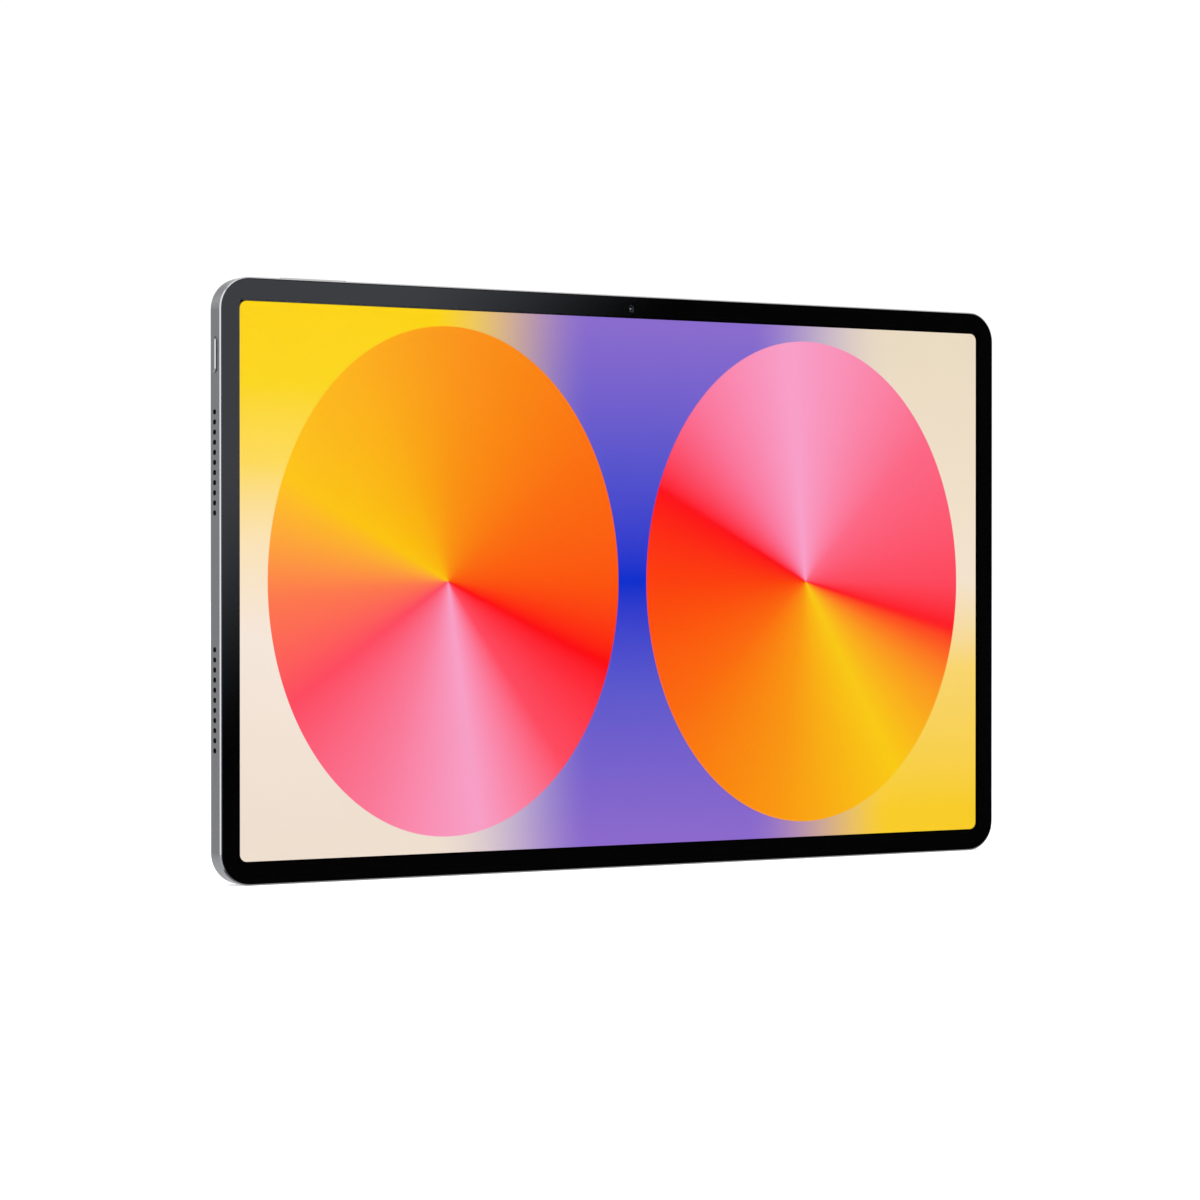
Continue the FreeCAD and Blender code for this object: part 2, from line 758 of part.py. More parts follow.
def display_layers():
    """The panel, its films, the light guide and the reflector, from front to back."""
    panel = slab("panel", f"{VIEW_W} + 2 * lcd_edge", f"{VIEW_H} + 2 * lcd_edge", "view_r", LCD, PRISM)
    piece(panel, "lcd_panel")
    inner_w = f"{VIEW_W} + 2 * (frame_inset - seat_gap)"
    inner_h = f"{VIEW_H} + 2 * (frame_inset - seat_gap)"
    layers = [
        ("prism_film", PRISM, DIFFUSER, "0"),
        ("diffuser_film", DIFFUSER, GUIDE, "0"),
        ("light_guide", GUIDE, REFLECTOR, "led_w + seat_gap"),
        ("reflector_sheet", REFLECTOR, TRAY, "0"),
    ]
    for label, front, back, short in layers:
        height = f"{inner_h} - ({short})"
        sheet_piece = slab(label, inner_w, height, "view_r - seat_gap", front, back,
                           z=f"{MIDDLE} + ({short}) / 2")
        piece(sheet_piece, label)
    low = f"{MIDDLE} - {VIEW_H} / 2 - frame_inset + seat_gap"
    strip = block("lamps", about("0", f"{VIEW_W} / 2 - 2 * view_r"), (low, f"{low} + led_w"),
                  GUIDE, REFLECTOR)
    piece(strip, "led_strip")


def backlight_case():
    """The plastic frame round the films and the steel tray behind them."""
    width = f"{VIEW_W} + 2 * frame_edge"
    height = f"{VIEW_H} + 2 * frame_edge"
    frame = slab("frame", width, height, "view_r + frame_edge", PRISM, TRAY)
    cut_window(frame, f"{VIEW_W} + 2 * frame_inset", f"{VIEW_H} + 2 * frame_inset", "view_r")
    piece(frame, "backlight_frame")
    tray = slab("tray", width, height, "view_r + frame_edge", TRAY, f"{TRAY} + tray_t")
    piece(tray, "backlight_tray")


def display_flex():
    """The display's flexible circuit: out at the bottom, round the tray and up to the board."""
    x = about(BOARD_X, "display_flex_w / 2")
    low = f"{MIDDLE} - {VIEW_H} / 2 - frame_edge - flex_t - bend_gap"
    panel_edge = f"{MIDDLE} - {VIEW_H} / 2 - lcd_edge"
    front = f"{LCD} + lcd_t / 2"
    plug = (f"{BOARD_LOW} + plug_gap", f"{BOARD_LOW} + plug_gap + plug_w")
    flex = fuse("flex", [
        block("flex_front", x, (low, panel_edge), front, f"{front} + flex_t"),
        block("flex_edge", x, (low, f"{low} + flex_t"), front, f"{ROOM} + flex_t"),
        block("flex_back", x, (low, plug[1]), ROOM, f"{ROOM} + flex_t"),
        block("flex_plug", about(BOARD_X, "display_plug_l / 2"), plug, ROOM, BOARD_FRONT),
    ])
    piece(flex, "display_flex")


def display_carrier():
    """The frame that carries the display: a ring round it and a thin web behind it."""
    width = "body_w - 2 * (wall + slide_gap)"
    height = "body_h - 2 * (wall + slide_gap)"
    inner_w = f"({VIEW_W} + 2 * (frame_edge + frame_inset))"
    inner_h = f"({VIEW_H} + 2 * (frame_edge + frame_inset))"
    ring = slab("ring", width, height, "corner_r - wall - slide_gap", LEDGE, ROOM)
    bay = rounded(sketch_on(ring, "bay", "XZ_Plane", ("0", "0", f"{ROOM} - {LEDGE}")),
                  inner_w, inner_h, "view_r + frame_edge + frame_inset")
    pocket(ring, bay, f"{WEB} - {LEDGE}", "bay_cut")
    bottom = f"{MIDDLE} - {inner_h} / 2"
    key_front = "body_t / 2 - key_w / 2 - flange_out - slide_gap"
    key_in = "-(wall + 4 * flange_t)"
    rocker_x = about(ROCKER_X, "rocker_l / 2 + 2 * flange_out + slide_gap")
    power_z = about(POWER_Z, "power_l / 2 + 2 * flange_out + slide_gap")
    behind = f"{ROOM} + slide_gap"
    through = (f"{LEDGE} - slide_gap", behind)
    notches = lens_notches("ring", *through) + [
        block("notch_flex", about(BOARD_X, "display_flex_w / 2 + slide_gap"),
              (f"{bottom} - flex_t - bend_gap - slide_gap", f"{bottom} + frame_inset + bend_gap"), *through),
        edge_block("notch_power", "left", power_z, key_in, "0", key_front, behind),
        edge_block("notch_rocker", "top", rocker_x, key_in, "0", key_front, behind),
    ]
    piece(cut("carrier", ring, notches), "display_carrier")


def front_camera():
    """The front camera: a lens barrel behind the peephole on a square base."""
    top = "body_h - wall - slide_gap"
    base = block("selfie_base_block", about("0", "selfie_base / 2"), (f"{top} - selfie_base", top),
                 ROOM, f"{ROOM} + selfie_t")
    mouth = f"{GLUE} + seat_gap"
    barrel = rod("selfie_barrel", "0", SELFIE_Z, "selfie_r", mouth, f"{ROOM} + slide_gap")
    well = rod("selfie_well", "0", SELFIE_Z, "selfie_well_r", mouth, f"{mouth} + selfie_well")
    piece(cut("selfie", fuse("selfie_solid", [base, barrel]), [well]), "front_camera")
    chip = block("sensor_chip", about("sensor_right", "sensor_w / 2"), about(SELFIE_Z, "sensor_w / 2"),
                 mouth, f"{ROOM} + slide_gap")
    foot = block("sensor_foot", about("sensor_right", "sensor_w"), about(SELFIE_Z, "sensor_w"),
                 ROOM, f"{ROOM} + board_t")
    piece(fuse("sensor", [chip, foot]), "light_sensor")


# --- keys ---------------------------------------------------------------------------------

def key(label, length, lift, place, rotation):
    """A side key: a round-ended bar through the wall, with a flange that keeps it in."""
    body = new_body(label, *place, rotation=rotation)
    flange = sketch_on(body, "flange", "YZ_Plane", ("0", "0", f"-(wall + {lift} + flange_t)"), turn=90)
    oblong(flange, f"{length} + 2 * flange_out", "key_w + 2 * flange_out")
    pad(body, flange, "flange_t", "flange_pad")
    bar = sketch_on(body, "bar", "YZ_Plane", ("0", "0", f"-(wall + {lift})"), turn=90)
    oblong(bar, length, "key_w")
    pad(body, bar, f"wall + {lift} + key_out", "bar_pad")
    doc.recompute()
    names = edge_names(body.Tip, on_plane("X", SIZES["key_out"]))
    dress(body, "Chamfer", names, "key_c", "Size")
    piece(body, label)


def power_key():
    """The power key, its switch and the bracket behind it."""
    turned = FreeCAD.Rotation(V(0, 1, 0), 180)
    key("power_button", "power_l", "seat_gap", ("-body_w / 2", depth("body_t / 2"), POWER_Z), turned)
    top = "-(wall + flange_t + key_travel + 2 * seat_gap)"
    face = f"{top} - dome_h"
    flex = f"{face} - switch_t"
    plate = f"{flex} - flex_t"
    middle = "body_t / 2 + switch_back"
    front = f"{middle} - dome_r"
    back = f"{middle} + dome_r"
    switch = fuse("power_switch_solid", [
        side_rod("power_dome", "left", POWER_Z, "dome_r", f"{face} - slide_gap", top, middle),
        edge_block("power_case", "left", about(POWER_Z, "switch_w / 2"), flex, face, front, back),
        edge_block("power_film", "left", about(POWER_Z, "power_l / 2"), plate, flex, front, back),
    ])
    piece(switch, "power_switch")
    end = f"{plate} - bracket_t"
    wing = about(POWER_Z, "power_l / 2 + bracket_edge")
    bracket = fuse("power_bracket_solid", [
        edge_block("power_post", "left", wing, end, plate, f"{ROOM} + slide_gap", FLOOR),
        edge_block("power_foot", "left", wing, f"{end} - bracket_foot", plate,
                   f"{FLOOR} - bracket_t", FLOOR),
    ])
    piece(bracket, "power_bracket")


def volume_key():
    """The volume rocker, the bracket that it tips on, and its pair of switches."""
    turned = FreeCAD.Rotation(V(0, 1, 0), -90)
    key("volume_rocker", "rocker_l", "rocker_lift",
        (ROCKER_X, depth("body_t / 2"), "body_h"), turned)
    under = "-(wall + rocker_lift + flange_t)"
    top = f"{under} - rocker_dip"
    face = f"{top} - dome_h"
    flex = f"{face} - switch_t"
    plate = f"{flex} - flex_t"
    middle = "body_t / 2 + switch_back"
    front = f"{middle} - dome_r"
    back = f"{middle} + dome_r"
    parts = [edge_block("volume_film", "top", about(ROCKER_X, "rocker_l / 2"), plate, flex,
                        front, back)]
    for name, sign in SIDES.items():
        x = f"{ROCKER_X} + {sign} * dome_off"
        parts.append(side_rod(f"volume_dome_{name}", "top", x, "dome_r", f"{face} - slide_gap", top,
                              middle))
        parts.append(edge_block(f"volume_case_{name}", "top", about(x, "switch_w / 2"), flex, face,
                                front, back))
    near = f"{ROOM} + 2 * slide_gap"
    far = f"{near} + fulcrum_l"
    film_slot = edge_block("film_slot", "top", about(ROCKER_X, "fulcrum_r + seat_gap"),
                           f"{plate} - slide_gap", f"{flex} + slide_gap",
                           f"{near} - seat_gap", f"{far} + seat_gap")
    piece(cut("volume_switch_solid", fuse("volume_switch_parts", parts), [film_slot]), "volume_switch")
    end = f"{plate} - bracket_t"
    wing = about(ROCKER_X, "rocker_l / 2 + bracket_edge")
    tip = f"{under} - seat_gap - fulcrum_r"
    fulcrum = rod("fulcrum", ROCKER_X, f"body_h + {tip}", "fulcrum_r", near, far)
    post = edge_block("fulcrum_post", "top", about(ROCKER_X, "fulcrum_r"), plate, tip, near, far)
    bracket = fuse("volume_bracket_solid", [
        edge_block("volume_wall", "top", wing, end, plate, f"{ROOM} + slide_gap", FLOOR),
        edge_block("volume_foot", "top", wing, f"{end} - bracket_foot", plate,
                   f"{FLOOR} - bracket_t", FLOOR),
        post,
        fulcrum,
    ])
    piece(bracket, "volume_bracket")


# --- card tray and charging socket --------------------------------------------------------

def card_parts():
    """The card tray with its face, recess and pin hole, and the cage that guides it."""
    tray = new_body("tray_body", "body_w / 2", depth(CARD_DEEP), CARD_Z)
    face = sketch_on(tray, "face", "YZ_Plane", ("0", "0", "-wall"), turn=90)
    pad(tray, oblong(face, "card_face_l", "card_face_w"), "wall", "face_pad")
    plate = sketch_on(tray, "plate", "YZ_Plane", ("0", "0", "-(wall + card_len)"), turn=90)
    rounded(plate, "card_w", "card_t", "card_t / 4")
    pad(tray, plate, "card_len", "plate_pad")
    doc.recompute()
    recess = sketch_on(tray, "card_recess", "XZ_Plane",
                       ("-(wall + card_len / 2)", "0", "card_t / 2"))
    rounded(recess, "card_len - 3 * card_rim", "card_w - 2 * card_rim", "card_rim / 2")
    pocket(tray, recess, "card_t / 2", "card_recess_cut")
    pin = disc(sketch_on(tray, "pin_hole", "YZ_Plane", ("0", "card_face_l / 2 - card_pin_in", "0")),
               "card_pin_r")
    pocket(tray, pin, "wall + card_rim", "pin_hole_cut")
    piece(tray, "card_tray")
    half_w = "card_w / 2 + cage_gap"
    half_t = "card_t / 2 + cage_gap"
    front = f"{CARD_DEEP} - ({half_t})"
    back = f"{CARD_DEEP} + {half_t}"
    reach = ("-(wall + card_len + cage_t + cage_gap)", "-(wall + cage_in)")
    outer = edge_block("cage_outer", "right", about(CARD_Z, f"{half_w} + cage_t"), *reach,
                       f"{front} - cage_t", f"{back} + cage_t")
    feet = [
        edge_block(f"cage_foot_{name}", "right",
                   about(f"({CARD_Z} + {sign} * ({half_w} + cage_t - cage_foot / 2))", "cage_foot / 2"),
                   *reach, back, FLOOR)
        for name, sign in LEVELS.items()
    ]
    inner = edge_block("cage_inner", "right", about(CARD_Z, half_w), f"{reach[0]} + cage_t", "0",
                       front, back)
    piece(cut("cage", fuse("cage_solid", [outer] + feet), [inner]), "card_socket")


def usb_parts():
    """The charging socket's shell and its tongue."""
    shell = new_body("usb_body", "body_w / 2", depth(USB_DEEP), MIDDLE)
    outer = sketch_on(shell, "outer", "YZ_Plane", ("0", "0", "-usb_len"), turn=90)
    pad(shell, oblong(outer, "usb_l", "usb_w"), "usb_len - slide_gap")
    doc.recompute()
    inner = sketch_on(shell, "inner", "YZ_Plane", ("0", "0", "-slide_gap"), turn=90)
    oblong(inner, "usb_l - 2 * usb_t", "usb_w - 2 * usb_t")
    pocket(shell, inner, "usb_len - 3 * usb_t", "inner_cut")
    piece(shell, "usb_c_shell")
    back = "-(usb_len - 3 * usb_t + slide_gap)"
    wide = about(MIDDLE, "tongue_w / 2")
    tongue = fuse("tongue_solid", [
        edge_block("tongue_blade", "right", wide, back, "-tongue_in",
                   *about(USB_DEEP, "tongue_t / 2")),
        edge_block("tongue_foot", "right", wide, back, f"{back} + tongue_root",
                   *about(USB_DEEP, "tongue_t")),
    ])
    piece(tongue, "usb_c_tongue")


# --- boards -------------------------------------------------------------------------------

def drilled(name, solid, places):
    """Drill clearance holes for screws through a board."""
    holes = [
        rod(f"{name}_hole_{number}", x, z, "shank_r + slide_gap",
            f"{BOARD_FRONT} - slide_gap", f"{BOARD_BACK} + slide_gap")
        for number, (x, z) in enumerate(places)
    ]
    return cut(name + "_drilled", solid, holes)


def boards():
    """The main board, the socket board and the flexible circuit that joins them."""
    places = board_screw_places()
    main = block("main", (BOARD_LEFT, COLUMN), (BOARD_LOW, BOARD_HIGH), BOARD_FRONT, BOARD_BACK)
    piece(drilled("main", main, places[:4]), "main_board")
    left = f"{COLUMN} + column_gap"
    usb = block("usb_board_solid", (left, USB_BACK), about(MIDDLE, "socket_board_h / 2"),
                BOARD_FRONT, BOARD_BACK)
    piece(drilled("usb_side", usb, places[4:]), "usb_board")
    film = f"{BOARD_FRONT} - flex_t"
    plug = f"{film} - plug_t"
    start = f"{COLUMN} - ribbon_in"
    end = f"{left} + ribbon_out"
    tall = about(MIDDLE, "ribbon_w / 2")
    ribbon = fuse("ribbon", [
        block("ribbon_film", (start, end), tall, film, BOARD_FRONT),
        block("ribbon_plug_main", (start, f"{start} + plug_w"), tall, plug, BOARD_FRONT),
        block("ribbon_plug_usb", (f"{end} - plug_w", end), tall, plug, BOARD_FRONT),
    ])
    piece(ribbon, "main_flex")


def chip(label, x_off, z_off, width, height, thick):
    """A packaged chip on the front of the main board."""
    body = block(label, about(f"{BOARD_X} + ({x_off})", f"{width} / 2"),
                 about(f"{MIDDLE} + ({z_off})", f"{height} / 2"),
                 f"{BOARD_FRONT} - {thick}", BOARD_FRONT)
    piece(body, label)


def shield(label, x_off, z_off, width, height):
    """A pressed steel can, open towards the board."""
    x = f"{BOARD_X} + ({x_off})"
    z = f"{MIDDLE} + ({z_off})"
    outer = block(label + "_outer", about(x, f"{width} / 2"), about(z, f"{height} / 2"),
                  f"{BOARD_FRONT} - shield_h", BOARD_FRONT)
    inner = block(label + "_inner", about(x, f"{width} / 2 - shield_t"),
                  about(z, f"{height} / 2 - shield_t"),
                  f"{BOARD_FRONT} - shield_h + shield_t", f"{BOARD_FRONT} + slide_gap")
    piece(cut(label + "_can", outer, [inner]), label)


def chips():
    """The main board's chips and the cans over them."""
    chip("processor_chip", "-processor_left", "chips_up", "processor_w", "processor_w", "processor_t")
    chip("storage_chip", "storage_right", "chips_up", "storage_w", "storage_h", "storage_t")
    chip("wireless_chip", "radio_right", "-radio_down", "radio_w", "radio_w", "radio_t")
    shield("processor_shield", "can_right", "chips_up", "can_w", "can_h")
    shield("wireless_shield", "radio_right", "-radio_down", "radio_can_w", "radio_can_h")


def screws(label, places):
    """Machine screws with a hexagon recess, all alike, at the given places."""
    made = []
    for number, (x, z) in enumerate(places):
        name = f"{label}_{number}"
        head = rod(name + "_head", x, z, "head_r", f"{BOARD_FRONT} - head_h", BOARD_FRONT)
        shank = rod(name + "_shank", x, z, "shank_r", BOARD_FRONT, f"{FLOOR} - slide_gap")
        recess = doc.addObject("Part::Prism", name + "_recess")
        recess.Polygon = 6
        recess.Placement = FreeCAD.Placement(V(), FreeCAD.Rotation(V(1, 0, 0), -90))
        bind(recess, "Circumradius", "head_r / 2")
        bind(recess, "Height", "head_h / 2 + slide_gap")
        bind(recess, "Placement.Base.x", x)
        bind(recess, "Placement.Base.y", depth(f"{BOARD_FRONT} - head_h - slide_gap"))
        bind(recess, "Placement.Base.z", z)
        made.append(cut(name, fuse(name + "_solid", [head, shank]), [recess]))
    piece(group(label + "_group", made), label)


# --- speakers, microphone and battery -----------------------------------------------------

def speakers():
    """Four speaker boxes with ears, and the mesh between each one and its grille."""
    for name, side, level in speaker_places():
        x = f"{side} * {SPEAKER_X}"
        z = f"({MIDDLE} + {level} * {SPEAKER_UP})"
        box = block(f"box_{name}", about(x, "speaker_w / 2"), about(z, f"{SPEAKER_L} / 2"),
                    f"{ROOM} + slide_gap", FLOOR)
        ears = block(f"ears_{name}", about(x, "ear_w / 2"), about(z, f"{SPEAKER_L} / 2 + ear_l"),
                     BOARD_FRONT, BOARD_BACK)
        dish = rod(f"dish_{name}", x, z, "dish_r", ROOM, f"{ROOM} + slide_gap + dish_t")
        holes = [
            rod(f"ear_hole_{name}_{end}", x, f"{z} + {end} * {EAR_OUT}", "shank_r + slide_gap",
                f"{BOARD_FRONT} - slide_gap", f"{BOARD_BACK} + slide_gap")
            for end in ("1", "-1")
        ]
        solid = fuse(f"speaker_solid_{name}", [box, ears])
        piece(cut(f"speaker_cut_{name}", solid, [dish] + holes), f"speaker_{name}")
        low = "-(wall + mesh_t)"
        half_row = "(hole_count - 1) * hole_pitch / 2 + hole_w"
        mesh = edge_block(f"mesh_{name}", name.split("_")[0], about(z, half_row), low, "-wall",
                          f"{ROOM} + slide_gap", "hole_deep + hole_l / 2 + mesh_edge")
        piece(mesh, f"speaker_mesh_{name}")


def microphone():
    """The microphone can under its hole in the top wall, on a small foot."""
    under = "-(wall + mic_t)"
    body = fuse("mic_solid", [
        edge_block("mic_can", "top", about("mic_right", "mic_w / 2"), under, "-wall",
                   "mic_deep - mic_front", "mic_deep + mic_back"),
        edge_block("mic_foot", "top", about("mic_right", "mic_foot_w / 2"), f"{under} - mic_foot_t",
                   under, "mic_deep - mic_front", FLOOR),
    ])
    port = side_rod("mic_port", "top", "mic_right", "mic_r", "-(wall + mic_port)", "slide_gap - wall",
                    "mic_deep")
    piece(cut("mic", body, [port]), "microphone")


def battery():
    """Two pouch cells on tape, their protection board and the cable to the main board."""
    cell_h = f"{CELL_TOP} - strip_low"
    tapes = []
    for label, x in (("battery_cell_left", CELL_LEFT_X), ("battery_cell_right", CELL_RIGHT_X)):
        cell = slab(label, CELL_W, cell_h, "cell_r", f"{ROOM} + swell_gap", f"{FLOOR} - tape_t",
                    x=x, z=CELL_Z)
        piece(cell, label)
        tapes.append(block(label + "_tape", about(x, f"{CELL_W} / 4"), about(CELL_Z, f"({cell_h}) / 3"),
                           f"{FLOOR} - tape_t", FLOOR))
    piece(group("tapes", tapes), "battery_tape")
    low = f"{CELL_TOP} + guard_gap"
    board = block("guard", about(SEAM_X, "guard_l / 2"), (low, f"{low} + guard_h"), BOARD_FRONT, FLOOR)
    piece(board, "battery_board")
    end = f"{BOARD_LEFT} + cable_in"
    tall = (f"{low} + cable_edge", f"{low} + cable_edge + cable_w")
    film = f"{BOARD_FRONT} - flex_t"
    cable = fuse("cable", [
        block("cable_film", (f"{SEAM_X} + guard_l / 3", end), tall, film, BOARD_FRONT),
        block("cable_plug", (f"{end} - plug_w", end), tall, f"{film} - plug_t", BOARD_FRONT),
    ])
    piece(cable, "battery_cable")


# --- rear camera --------------------------------------------------------------------------

def rear_camera():
    """The rear camera's plate, window, body, focusing lens and flash."""
    plate = new_body("bump", CAMERA_X, depth("body_t"), CAMERA_Z)
    outline = sketch_on(plate, "outline", "XZ_Plane", ("0", "0", "-bump_t"))
    pad(plate, oblong(outline, "bump_l", "bump_w"), "bump_t")
    doc.recompute()
    outer = edge_names(plate.Tip, on_plane("Y", SIZES["bump_t"]))
    dress(plate, "Chamfer", outer, "bump_c", "Size")
    seat = sketch_on(plate, "seat", "XZ_Plane", ("0", "0", "-bump_t"))
    pocket(plate, oblong(seat, "window_l + 2 * fit_gap", "window_w + 2 * fit_gap"),
           "window_t + slide_gap", "seat_cut", forward=True)
    opening = sketch_on(plate, "opening", "XZ_Plane", ("0", "0", "-bump_t"))
    pocket(plate, oblong(opening, "window_l - 2 * window_step", "window_w - 2 * window_step"),
           "2 * bump_t", "opening_cut", forward=True)
    piece(plate, "camera_plate")
    window = new_body("window", CAMERA_X, depth(f"{BUMP_TOP} - slide_gap"), CAMERA_Z)
    pad(window, oblong(sketch_on(window, "outline", "XZ_Plane"), "window_l", "window_w"), "window_t")
    piece(window, "camera_window")
    lens_front = f"{FLOOR} - lens_deep"
    lens_top = f"{BUMP_TOP} - slide_gap - window_t - focus_travel - slide_gap"
    case = block("camera_case", about(LENS_X, "camera_s / 2"), about(CAMERA_Z, "camera_s / 2"),
                 f"{ROOM} + slide_gap", FLOOR)
    bore = rod("camera_bore", LENS_X, CAMERA_Z, "lens_r + lens_gap", f"{lens_front} - slide_gap",
               f"{FLOOR} + slide_gap")
    piece(cut("camera_body_cut", case, [bore]), "rear_camera_body")
    barrel = rod("lens_barrel", LENS_X, CAMERA_Z, "lens_r", lens_front, lens_top)
    cup = rod("lens_cup", LENS_X, CAMERA_Z, "lens_cup_r", f"{lens_top} - lens_cup",
              f"{lens_top} + slide_gap")
    piece(cut("lens", barrel, [cup]), "rear_camera_lens")
    base = block("flash_foot", about(FLASH_X, "flash_base / 2"), about(CAMERA_Z, "camera_s / 2"),
                 f"{FLOOR} - board_t", FLOOR)
    dome = rod("flash_dome", FLASH_X, CAMERA_Z, "flash_r", f"{FLOOR} - slide_gap", "body_t + slide_gap")
    piece(fuse("flash", [base, dome]), "flash_module")


# --- build --------------------------------------------------------------------------------

def check(items):
    """Stop unless every object was recomputed well and every sub-part is a valid solid."""
    for item in doc.Objects:
        if "Invalid" in item.State or "Error" in item.State:
            raise RuntimeError(f"{item.Label} failed: {item.State}")
    for item in items:
        shape = item.Shape
        if shape.isNull() or not shape.isValid() or not shape.Solids:
            raise RuntimeError(f"{item.Label} has no valid shape")


def build():
    """Make every sub-part and write it to parts/."""
    fill_sheet()
    rear_housing()
    antenna_strips()
    cover_glass()
    bezel_mask()
    frame_adhesive()
    optical_adhesive()
    display_layers()
    backlight_case()
    display_flex()
    display_carrier()
    front_camera()
    power_key()
    volume_key()
    card_parts()
    usb_parts()
    boards()
    chips()
    screws("board_screws", board_screw_places())
    screws("speaker_screws", speaker_screw_places())
    speakers()
    microphone()
    battery()
    rear_camera()
    doc.recompute()
    check(pieces)
    os.makedirs("parts", exist_ok=True)
    for item in pieces:
        item.Shape.exportStep(f"parts/{item.Label}.step")
        print(f"{item.Label}: {item.Shape.Volume:.1f} mm3 in {len(item.Shape.Solids)} solids")


build()
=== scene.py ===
"""Looks of the tablet: finishes, small optical and metal details, studio light and camera.

Lengths are in metres in the part's own frame: X along the long edges, Z up, screen facing -Y.
The tablet stands on a pale floor on its long edge.
"""
import json
import math

import bmesh
import bpy
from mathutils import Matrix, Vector


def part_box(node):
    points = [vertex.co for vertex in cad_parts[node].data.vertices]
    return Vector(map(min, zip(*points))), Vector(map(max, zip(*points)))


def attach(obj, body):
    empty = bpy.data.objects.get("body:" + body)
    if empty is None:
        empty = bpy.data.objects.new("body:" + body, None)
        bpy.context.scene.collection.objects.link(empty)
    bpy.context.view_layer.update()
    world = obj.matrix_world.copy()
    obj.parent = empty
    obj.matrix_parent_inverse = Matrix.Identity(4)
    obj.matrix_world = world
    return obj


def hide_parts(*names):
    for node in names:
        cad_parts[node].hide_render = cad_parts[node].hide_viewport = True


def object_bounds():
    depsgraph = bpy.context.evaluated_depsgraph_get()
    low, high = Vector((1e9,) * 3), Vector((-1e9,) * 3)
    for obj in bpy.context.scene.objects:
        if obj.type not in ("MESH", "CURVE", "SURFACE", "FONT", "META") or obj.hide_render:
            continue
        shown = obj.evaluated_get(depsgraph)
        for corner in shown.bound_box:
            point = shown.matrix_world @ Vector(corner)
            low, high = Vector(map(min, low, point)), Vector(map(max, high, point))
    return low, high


MM = 0.001
ROOT = "tablet"

# Camera, as a full-frame camera on a level tripod to the left of the tablet.
CAMERA_PLACE = (-0.4409, -0.7825, 0.07965)
CAMERA_YAW = 28.936
CAMERA_PITCH = -0.309
CAMERA_LENS = 95.87
SENSOR = 36.0

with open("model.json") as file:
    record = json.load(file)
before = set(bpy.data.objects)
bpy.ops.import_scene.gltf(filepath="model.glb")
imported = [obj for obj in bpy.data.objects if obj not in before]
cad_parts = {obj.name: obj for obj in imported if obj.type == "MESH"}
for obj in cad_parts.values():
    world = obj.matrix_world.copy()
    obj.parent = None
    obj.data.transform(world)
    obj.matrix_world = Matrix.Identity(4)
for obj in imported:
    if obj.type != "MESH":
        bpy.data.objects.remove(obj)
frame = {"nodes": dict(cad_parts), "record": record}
cad_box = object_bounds()
FRONT = cad_box[0].y

# How far the display reaches behind the black border on each side, and the peephole's radius.
LCD_EDGE = 0.8 * MM
PEEPHOLE_R = 1.15 * MM

# Brightness of the studio's walls, and the direction from which the sheen on the glass comes.
WALLS = 1.04
SHEEN_FROM = (-0.629, -0.321, 0.707)


def centre_of(node):
    """The middle of a node across and up, and its lowest and highest depth."""
    low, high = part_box(node)
    return (low.x + high.x) / 2, (low.z + high.z) / 2, low.y, high.y


# --- node trees ---------------------------------------------------------------------------

def linear(red, green, blue):
    """A screen colour of 0 to 255 a channel, as linear light."""
    def one(value):
        share = value / 255
        return share / 12.92 if share <= 0.04045 else ((share + 0.055) / 1.055) ** 2.4
    return (one(red), one(green), one(blue), 1.0)


def grey(level):
    """A neutral linear colour."""
    return (level, level, level, 1.0)


